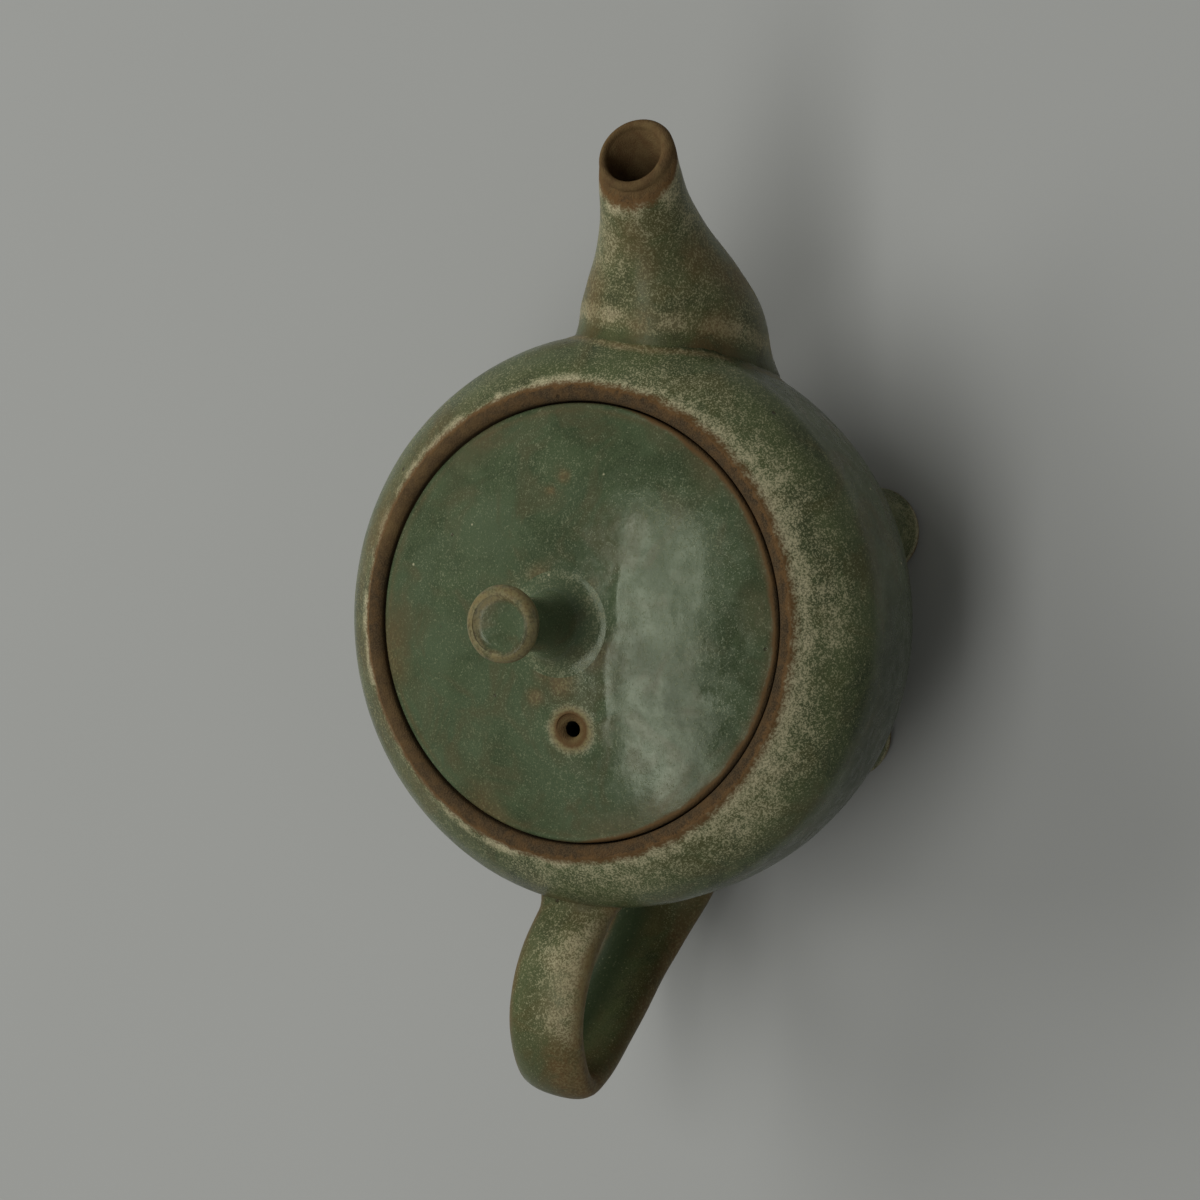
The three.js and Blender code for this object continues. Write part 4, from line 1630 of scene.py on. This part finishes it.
@dataclass
class Strainer:
    """The pierced clay thimble that holds the leaves back behind the spout."""

    body: PotBody
    radius: float = 8.7
    wall: float = 1.8
    bulge: float = 6.5
    drop: float = 11.0
    setback: float = 0.5
    cover: float = 1.6
    seam: float = 0.3
    hole_radius: float = 1.1
    holes_per_ring: tuple[int, ...] = (1, 6, 12)
    ring_turn: float = 33.0
    sides: int = 64
    bore_sides: int = 48
    hole_sides: int = 20

    @property
    def height(self) -> float:
        """Height of the thimble's axis."""
        return self.body.equator - self.drop

    def bore(self, reach: float) -> Piece:
        """Makes the rod that cuts the hole in the pot's wall.

        Args:
            reach: the rod's length in millimetres.

        Returns:
            The rod.
        """
        pick_none()
        bpy.ops.mesh.primitive_cylinder_add(
            vertices=self.bore_sides, radius=mm(self.radius + self.seam), depth=mm(reach),
            location=(mm(self.body.radius), 0, mm(self.height)), rotation=(0, math.pi / 2, 0))
        rod = bpy.context.object
        settle(rod)
        return rod

    def build(self, kiln: Kiln) -> Piece:
        """Throws, pierces and sets the thimble.

        Args:
            kiln: what fires it.

        Returns:
            The piece.
        """
        foot = self.body.radius - self.body.wall - self.setback
        skirt = self.body.radius - foot - self.cover
        inner = self.radius - self.wall
        section = [
            (inner, -skirt),
            (self.radius, -skirt),
            *arc((0, 0), (self.radius, self.bulge), 0, 90, 16),
            *arc((0, 0), (inner, self.bulge - self.wall), 90, 0, 14),
            (inner, -skirt),
        ]
        piece = throw("pierced_strainer", section, self.sides)
        for ring, count in enumerate(self.holes_per_ring):
            for hole in range(count):
                carve(piece, self.drill(ring, hole / count))
        piece.matrix_world = (Matrix.Translation((mm(foot), 0, mm(self.height)))
                              @ Matrix.Rotation(-math.pi / 2, 4, "Y"))
        settle(piece)
        mark(piece, even(BARE), even(0.0), even(0.0))
        return kiln.fire(piece, Slot.CLAY, Body.POT, ["strainer"])

    def drill(self, ring: int, turn: float) -> Piece:
        """Makes the rod that pierces one hole, out from the dome's centre.

        Args:
            ring: the hole's ring, counted from the dome's top.
            turn: its place round the ring, as a share of a turn.

        Returns:
            The rod.
        """
        tilt = Matrix.Rotation(2 * math.pi * turn, 4, "Z") @ Matrix.Rotation(
            math.radians(ring * self.ring_turn), 4, "X")
        pick_none()
        bpy.ops.mesh.primitive_cylinder_add(vertices=self.hole_sides, radius=mm(self.hole_radius),
                                            depth=mm(2 * self.radius))
        rod = bpy.context.object
        rod.matrix_world = tilt @ Matrix.Translation((0, 0, mm(self.radius)))
        settle(rod)
        return rod


@dataclass
class Lid:
    """The lid: a low dome with a vent, and a locating ring under it."""

    body: PotBody
    clearance: float = 0.3
    rise: float = 5.8
    thickness: float = 3.6
    edge_round: float = 0.65
    edge_bevel: float = 0.3
    seat_depth: float = 1.2
    flange_clearance: float = 0.4
    flange_wall: float = 2.4
    flange_depth: float = 7.0
    flange_setback: float = 0.8
    vent_radius: float = 1.15
    vent_mouth: float = 2.6
    vent_depth: float = 1.1
    vent_offset: float = 16.0
    vent_angle: float = 194.0
    vent_clear: float = 1.5
    bare_edge: float = 0.5
    far_edge: float = -0.9
    edge_wave: Wave = Wave(0.0, 0.35, 4.0, 8.3)
    # Below these depths under the dome's curve the rim is bare, and the vent is drawn near black as
    # painted shade.
    bare_rim_depth: float = 1.7
    vent_shade_depth: float = 0.8
    unevenness: float = 0.16
    waves: tuple[Wave, ...] = (
        Wave(0.0, 0.6, 15.0, 2.7), Wave(0.0, 0.45, 6.5, 5.9), Wave(0.0, 0.12, 2.6, 1.1))
    # Rust marks: place along X and Y, and size.
    marks: tuple[tuple[float, float, float], ...] = (
        (22.0, 3.2, 0.9), (19.6, 5.0, 0.6), (-8.5, -1.8, 2.0), (-11.5, 2.5, 1.2))
    # A run of thicker glaze across the dome.
    run_aside: float = -8.8
    run_width: float = 0.75
    run_height: float = 0.15
    run_start: Point = (-23.0, -17.0)
    run_end: Point = (13.0, 6.0)
    run_sway: Wave = Wave(0.0, 1.1, 5.0, 9.4)
    run_wave: Wave = Wave(0.65, 0.6, 2.5, 3.7)
    # Deep in the vent the edge measure is set this low, which draws painted shade there.
    vent_shade_edge: float = -9.0
    # Thin glaze inside the rim, and crystals.
    line_wave: Wave = Wave(0.4, 0.4, 9.0, 2.4)
    knob_thin: Span = (6.8, 8.0, 8.0, 11.5)
    knob_bloom: Point = (14.0, 8.0)
    vent_thin: Point = (4.2, 3.0)
    vent_bloom: Point = (5.6, 3.4)
    crystal_wave: Wave = Wave(0.34, 0.22, 10.0, 4.9)

    @property
    def radius(self) -> float:
        """The lid's radius."""
        return self.body.mouth - self.clearance

    @property
    def top(self) -> float:
        """Height of the dome's middle."""
        return self.body.rim + self.rise

    @property
    def flange_outer(self) -> float:
        """Outer radius of the locating ring."""
        return self.body.mouth - self.body.ledge_width - self.flange_clearance

    @property
    def vent(self) -> Vector:
        """The vent's place on the dome, in metres."""
        angle = math.radians(self.vent_angle)
        return Vector((mm(self.vent_offset * math.cos(angle)), mm(self.vent_offset * math.sin(angle)),
                       mm(self.height(self.vent_offset))))

    def height(self, radius: float) -> float:
        """Height of the dome, a cap of a large ball, at a radius."""
        ball = (self.radius ** 2 + self.rise ** 2) / (2 * self.rise)
        return self.top - ball + math.sqrt(ball ** 2 - radius ** 2)

    def skin(self, radius: float) -> float:
        """Height of the dome at a radius, or at the start of its rounded edge if that is further in."""
        return self.height(min(radius, self.radius - self.edge_round))

    def dome_line(self, start: float, end: float, depth: float, steps: int) -> list[Point]:
        """Points along the dome between two radii, lowered by a depth."""
        radii = [blend(start, end, step / steps) for step in range(steps + 1)]
        return [(radius, self.height(radius) - depth) for radius in radii]

    def build(self, kiln: Kiln) -> list[Piece]:
        """Makes the dome and its locating ring."""
        return [self.build_dome(kiln), self.build_ring(kiln)]

    def build_dome(self, kiln: Kiln) -> Piece:
        """Throws, pierces, marks and dresses the dome.

        Args:
            kiln: what fires it.

        Returns:
            The piece.
        """
        edge = self.radius - self.edge_round
        middle = (edge, self.height(edge) - self.edge_round)
        hollow = self.flange_outer - self.flange_wall - self.flange_setback
        dome = throw("lid_plate", [
            *self.dome_line(0, hollow - 1, self.thickness, 24),
            (hollow, self.body.seat + self.seat_depth),
            (hollow, self.body.seat),
            (self.radius - self.edge_bevel, self.body.seat),
            (self.radius, self.body.seat + self.edge_bevel),
            *arc(middle, (self.edge_round, self.edge_round), 0, 84, 8),
            *self.dome_line(edge, 0, 0, 64),
        ])
        move_points(dome, self.hand_made)
        carve(dome, self.vent_cutter())
        mark(dome, self.edge, self.thinned, self.bloom)
        return kiln.fire(dome, Slot.LID, Body.LID, ["lid_dome"])

    def build_ring(self, kiln: Kiln) -> Piece:
        """Throws and dresses the locating ring.

        Args:
            kiln: what fires it.

        Returns:
            The piece.
        """
        inner = self.flange_outer - self.flange_wall
        half = self.flange_wall / 2
        bottom = self.body.seat - self.flange_depth
        ring = throw("locating_ring", [
            (inner, self.body.seat),
            *arc((inner + half, bottom + half), (half, half), 180, 360, 12),
            (self.flange_outer, self.body.seat),
            (inner, self.body.seat),
        ])
        mark(ring, even(BARE), even(0.0), even(0.0))
        return kiln.fire(ring, Slot.CLAY, Body.LID, ["lid_flange"])

    def vent_cutter(self) -> Piece:
        """Makes the rod with a flared head that sinks the vent and its mouth.

        Returns:
            The rod.
        """
        spread = self.vent_mouth - self.vent_radius
        cutter = throw("vent_cutter", [
            (0.0, -2 * self.thickness),
            (self.vent_radius, -2 * self.thickness),
            *arc((self.vent_mouth, -self.vent_depth), (spread, self.vent_depth), 180, 100, 10),
            (self.vent_mouth + 0.4, self.vent_clear),
            (0.0, self.vent_clear),
        ], 64)
        cutter.location = self.vent
        settle(cutter)
        return cutter

    def hand_made(self, point: Vector, normal: Vector) -> Vector:
        """Gives the dome's small unevenness, only on top.

        Args:
            point: a place on the dome.
            normal: the way that its skin faces there.

        Returns:
            How far the point moves, in metres.
        """
        x, y, z = in_mm(point)
        top = ease(-0.8, -0.1, z - self.skin(math.hypot(point.x, point.y) / MM))
        return normal * mm(self.lift(x, y) * top)

    def lift(self, x: float, y: float) -> float:
        """Measures how far the dome's skin stands above its true curve.

        Args:
            x: a place along X, in millimetres.
            y: the place along Y.

        Returns:
            The height in millimetres, none at the dome's edge.
        """
        out = math.hypot(x, y)
        point = Vector((mm(x), mm(y), mm(self.skin(out))))
        away = ease(self.radius - 0.6, self.radius - 4.5, out)
        waves = sum(wave.at(point) for wave in self.waves)
        aside = y - self.run_aside - self.run_sway.at(point)
        run = math.exp(-(aside / self.run_width) ** 2) * ease(*self.run_start, x) * ease(*self.run_end, x)
        run *= self.run_wave.at(point)
        return (self.unevenness * waves + self.run_height * run) * away

    def edge(self, point: Vector, normal: Vector) -> float:
        """Measures the distance into the glaze from its edge at the rim and the vent.

        Args:
            point: a place on the dome.
            normal: the way that its skin faces there; not used.

        Returns:
            The distance in millimetres, below 0 on bare clay and far below in the vent, where painted
            shade is drawn.
        """
        x, y, z = in_mm(point)
        out = math.hypot(x, y)
        aside = point - self.vent
        around = math.hypot(aside.x, aside.y) / MM
        # Painted shade: deep in the vent the measure drops far, and the surface turns near black.
        if around < self.vent_radius + 0.4 and z < self.height(out) - self.vent_shade_depth:
            return self.vent_shade_edge
        if z < self.skin(out) - self.bare_rim_depth:
            return BARE
        near = ease(-0.3, 0.6, -y / max(out, 1.0))
        bare = blend(self.far_edge, self.bare_edge, near) + self.edge_wave.at(point)
        return min(self.radius - out - bare, around - self.vent_mouth + 0.2)

    def thinned(self, point: Vector, normal: Vector) -> float:
        """Says where the glaze lies thin: inside the rim, round knob and vent, and in rust marks.

        Args:
            point: a place on the dome.
            normal: the way that its skin faces there; not used.

        Returns:
            How thin the glaze lies, from 0 to 1.
        """
        out = math.hypot(point.x, point.y) / MM
        rim_line = (self.radius - 2.0, self.radius - 1.2, self.radius - 1.0, self.radius - 0.4)
        line = band(rim_line, out) * self.line_wave.at(point)
        rim = ease(self.radius - 7, self.radius - 1, out) * ease(-0.05, 0.5, waver(point, 12, 3.3))
        knob = band(self.knob_thin, out) * ease(-0.1, 0.5, waver(point, 5, 6.1))
        vent = ease(*self.vent_thin, (point - self.vent).length / MM)
        rust = max(ease(1.8, 0.4, math.hypot(point.x / MM - x, point.y / MM - y) / size)
                   for x, y, size in self.marks)
        return min(1.0, max(0.8 * line, 0.6 * rim, 0.6 * knob, vent, 0.75 * rust))

    def bloom(self, point: Vector, normal: Vector) -> float:
        """Says where crystals stand: round the knob's root and the vent, and thinly elsewhere.

        Args:
            point: a place on the dome.
            normal: the way that its skin faces there; not used.

        Returns:
            How thickly they stand.
        """
        out = math.hypot(point.x, point.y) / MM
        knob = ease(*self.knob_bloom, out) * ease(-0.3, 0.4, waver(point, 6, 7.3))
        vent = ease(*self.vent_bloom, (point - self.vent).length / MM)
        return min(1.0, max(self.crystal_wave.at(point), 0.7 * knob, vent))


@dataclass
class Knob:
    """The lid's knob: flared root, thin waist and a dished button."""

    lid: Lid
    height: float = 17.38
    radius: float = 5.75
    button: float = 3.0
    waist: float = 4.1
    neck_flare: float = 1.7
    root_radius: float = 9.5
    root_rise: float = 4.4
    root_curve: float = 3.2
    root_sink: float = 0.03
    root_depth: float = 0.8
    root_steps: int = 24
    neck_steps: int = 6
    dish_radius: float = 4.6
    dish_width: float = 1.6
    dish_depth: float = 0.55
    lean: Point = (0.35, 0.7)
    wave: Wave = Wave(-0.04, 0.14, 5.5, 3.9)
    ring_sway: Wave = Wave(0.0, 0.35, 2.2, 9.6)
    ring_wave: Wave = Wave(0.85, 0.5, 1.8, 2.6)
    least_bloom: float = 0.3
    root_bloom: float = 0.7
    rim_bloom: float = 1.1
    sides: int = 96

    @property
    def top(self) -> float:
        """Height of the button's rim."""
        return self.lid.top + self.height

    def root(self) -> list[Point]:
        """Draws the root, a hollow curve from the dome's skin up to the waist.

        Returns:
            Its points.
        """
        points = []
        for step in range(1, self.root_steps + 1):
            share = math.sin(math.radians(90 * step / self.root_steps))
            radius = blend(self.root_radius, self.waist, share)
            rise = self.root_rise * (1 - math.sqrt(max(0.0, 1 - share ** self.root_curve)))
            points.append((radius, self.lid.height(radius) - self.root_sink + rise))
        return points

    def section(self) -> list[Point]:
        """Draws the knob's section from under the dome's skin to the middle of the dish.

        Returns:
            The section's points.
        """
        underside = self.top - self.button
        half = self.button / 2
        rim_radius = self.radius - half
        foot = self.lid.height(self.root_radius) - self.root_sink
        root = self.root()
        neck = [step / self.neck_steps for step in range(1, self.neck_steps)]
        dish = self.top - self.dish_depth
        return [
            (0.0, foot - self.root_depth),
            (self.root_radius, foot - self.root_depth),
            (self.root_radius, foot),
            *root,
            *[(self.waist, blend(root[-1][1], underside - self.neck_flare, share)) for share in neck],
            *arc((rim_radius, underside - self.neck_flare), (rim_radius - self.waist, self.neck_flare),
                 180, 95, 6),
            *arc((rim_radius, underside + half), (half, half), -85, 90, 18),
            (self.dish_radius, self.top - 0.02),
            *[(self.dish_radius * (1 - share) + (self.dish_radius - self.dish_width) * share,
               blend(self.top - 0.05, dish, ease(0, 1, share))) for share in (0.2, 0.4, 0.6, 0.8, 1.0)],
            (0.0, dish - 0.06),
        ]

    def build(self, kiln: Kiln) -> Piece:
        """Throws, marks and dresses the knob.

        Args:
            kiln: what fires it.

        Returns:
            The piece.
        """
        piece = throw("lid_button", self.section(), self.sides)
        move_points(piece, self.hand_made)
        mark(piece, even(GLAZED), self.thinned, self.bloom)
        return kiln.fire(piece, Slot.LID, Body.LID, ["lid_knob"])

    def hand_made(self, point: Vector, normal: Vector) -> Vector:
        """Gives the knob's slight lean, and its unevenness below the top.

        Args:
            point: a place on the knob.
            normal: the way that its skin faces there.

        Returns:
            How far the point moves, in metres.
        """
        x, y, z = in_mm(point)
        sideways = Vector((normal.x, normal.y, min(normal.z, 0.0)))
        lean = Vector((mm(self.lean[0]), mm(self.lean[1]), 0)) * ease(self.lid.top, self.top, z)
        foot = ease(self.lid.top + 2.5, self.lid.top + 0.5, z)
        lift = Vector((0, 0, mm(self.lid.lift(x, y)))) * foot
        return sideways * mm(self.wave.at(point)) * (1 - foot) + lean + lift

    def thinned(self, point: Vector, normal: Vector) -> float:
        """Says where the glaze breaks: round the button's rim.

        Args:
            point: a place on the knob.
            normal: the way that its skin faces there; not used.

        Returns:
            How thin the glaze lies, from 0 to 1.
        """
        x, y, z = in_mm(point)
        out = math.hypot(x, y) + self.ring_sway.at(point)
        ring = ease(self.dish_radius - 1.3, self.dish_radius - 0.3, out)
        underside = self.top - self.button
        high = ease(underside - 0.4, underside + 1.0, z)
        return min(1.0, ring * high * self.ring_wave.at(point))

    def bloom(self, point: Vector, normal: Vector) -> float:
        """How thickly crystals stand, most at the root and on the button's rim."""
        root = ease(self.lid.top + 2.0, self.lid.top + 0.2, point.z / MM)
        return max(self.least_bloom, self.root_bloom * root, self.rim_bloom * self.thinned(point, normal))


@dataclass(frozen=True)
class Lamp:
    """A soft rectangular lamp: its place, its sides along X and across it, its power and turn."""

    name: str
    place: tuple[float, float, float]
    size: Point
    watts: float
    turn: float = 0.0
    mirrored: bool = True

    def hang(self) -> None:
        """Hangs the lamp, facing the pot."""
        data = bpy.data.lights.new(self.name, "AREA")
        data.shape = "RECTANGLE"
        data.size, data.size_y = mm(self.size[0]), mm(self.size[1])
        data.energy = self.watts
        lamp = bpy.data.objects.new(self.name, data)
        bpy.context.scene.collection.objects.link(lamp)
        back = Vector(self.place).normalized()
        side = Vector((math.cos(math.radians(self.turn)), math.sin(math.radians(self.turn)), 0))
        along = (side - back * back.dot(side)).normalized()
        facing = Matrix((along, back.cross(along), back)).transposed().to_4x4()
        lamp.matrix_world = Matrix.Translation(Vector(self.place) * MM) @ facing
        lamp.visible_glossy = self.mirrored


@dataclass
class Studio:
    """The pale floor, the soft lamps and the camera at the photograph's angle."""

    body: PotBody
    floor_colour: str = "#aeafab"
    floor_radius: float = 2500.0
    floor_roughness: float = 0.7
    floor_cloud: float = 160.0
    surround: str = "#c9cac7"
    surround_strength: float = 0.235
    lamps: tuple[Lamp, ...] = (
        Lamp("overhead_panel", (-200.0, 10.0, 1200.0), (1280.0, 230.0), 2.65, 8.0),
        Lamp("overhead_strip", (-200.0, 205.0, 1200.0), (1280.0, 160.0), 2.6, 8.0),
        Lamp("back_fill", (500.0, 1400.0, 950.0), (1600.0, 900.0), 16.0, mirrored=False))
    azimuth: float = 10.9
    elevation: float = 63.78
    roll: float = -92.58
    distance: float = 400.0
    aim_right: float = 3.33
    aim_up: float = 1.37
    focal_pixels: float = 2557.0
    sensor: float = 36.0
    clip: Point = (10.0, 10000.0)

    def build(self) -> None:
        """Sets out the floor, the world, the lamps and the camera."""
        self.lay_floor()
        self.hang_world()
        for lamp in self.lamps:
            lamp.hang()
        self.set_camera()
        bpy.context.scene.view_settings.view_transform = "Standard"

    def lay_floor(self) -> None:
        """Lays a wide pale floor of painted board, faintly clouded, at the table's height."""
        pick_none()
        bpy.ops.mesh.primitive_circle_add(vertices=96, radius=mm(self.floor_radius), fill_type="NGON")
        floor = bpy.context.object
        name_piece(floor, "floor")
        made = bpy.data.materials.new("painted_board")
        made.use_nodes = True
        tree = made.node_tree
        tree.nodes.clear()
        place = add_node(tree, "ShaderNodeTexCoord").outputs["Object"]
        cloud = add_node(tree, NOISE, {"Vector": place, "Scale": 1 / mm(self.floor_cloud), "Detail": 2.0})
        share = add_node(tree, RAMP, (cloud, 0.3, 0.7, 0.0, 0.12))
        tints = {0: share, 6: colour(self.floor_colour), 7: colour(self.surround)}
        tint = add_node(tree, MIX, tints, **TINTS)
        shader = add_node(tree, "ShaderNodeBsdfPrincipled", {
            "Base Color": tint, "Roughness": self.floor_roughness})
        add_node(tree, "ShaderNodeOutputMaterial", {"Surface": shader})
        floor.data.materials.append(made)

    def hang_world(self) -> None:
        """Surrounds the pot with even pale light."""
        world = bpy.data.worlds.new("studio")
        world.use_nodes = True
        tree = world.node_tree
        tree.nodes.clear()
        light = add_node(tree, "ShaderNodeBackground", {
            "Color": colour(self.surround), "Strength": self.surround_strength})
        add_node(tree, "ShaderNodeOutputWorld", {"Surface": light})
        bpy.context.scene.world = world

    def set_camera(self) -> None:
        """Sets the camera at the photograph's angle, with world up to the left of the frame."""
        azimuth, elevation = math.radians(self.azimuth), math.radians(self.elevation)
        level = Vector((math.sin(azimuth), -math.cos(azimuth), 0))
        back = level * math.cos(elevation) + Vector((0, 0, math.sin(elevation)))
        right = Vector((math.cos(azimuth), math.sin(azimuth), 0))
        up = back.cross(right)
        aim = Vector((0, 0, mm(self.body.equator))) + up * mm(self.aim_up) + right * mm(self.aim_right)
        roll = math.radians(self.roll)
        frame_right = right * math.cos(roll) + up * math.sin(roll)
        frame_up = up * math.cos(roll) - right * math.sin(roll)
        turn = Matrix((frame_right, frame_up, back)).transposed().to_4x4()
        data = bpy.data.cameras.new("camera")
        data.sensor_width = self.sensor
        data.lens = self.focal_pixels / PHOTO_WIDTH * self.sensor
        data.clip_start, data.clip_end = mm(self.clip[0]), mm(self.clip[1])
        camera = bpy.data.objects.new("camera", data)
        bpy.context.scene.collection.objects.link(camera)
        camera.matrix_world = Matrix.Translation(aim + back * mm(self.distance)) @ turn
        bpy.context.scene.camera = camera


def main() -> None:
    """Builds the teapot's pieces in order and sets out the studio."""
    kiln = Kiln()
    body = PotBody()
    spout = Spout(body)
    handle = Handle(body)
    strainer = Strainer(body)
    lid = Lid(body)
    body.build(kiln, strainer, spout, handle)
    core = body.filled(LUTING_DEPTH)
    spout.build(kiln, core)
    handle.build(kiln, core)
    for number, (along, across) in enumerate(FOOT_PLACES, 1):
        Foot(body, along, across).build(kiln, core, number)
    bpy.data.objects.remove(core)
    strainer.build(kiln)
    lid.build(kiln)
    Knob(lid).build(kiln)
    Studio(body).build()


if __name__ == "__main__":
    main()
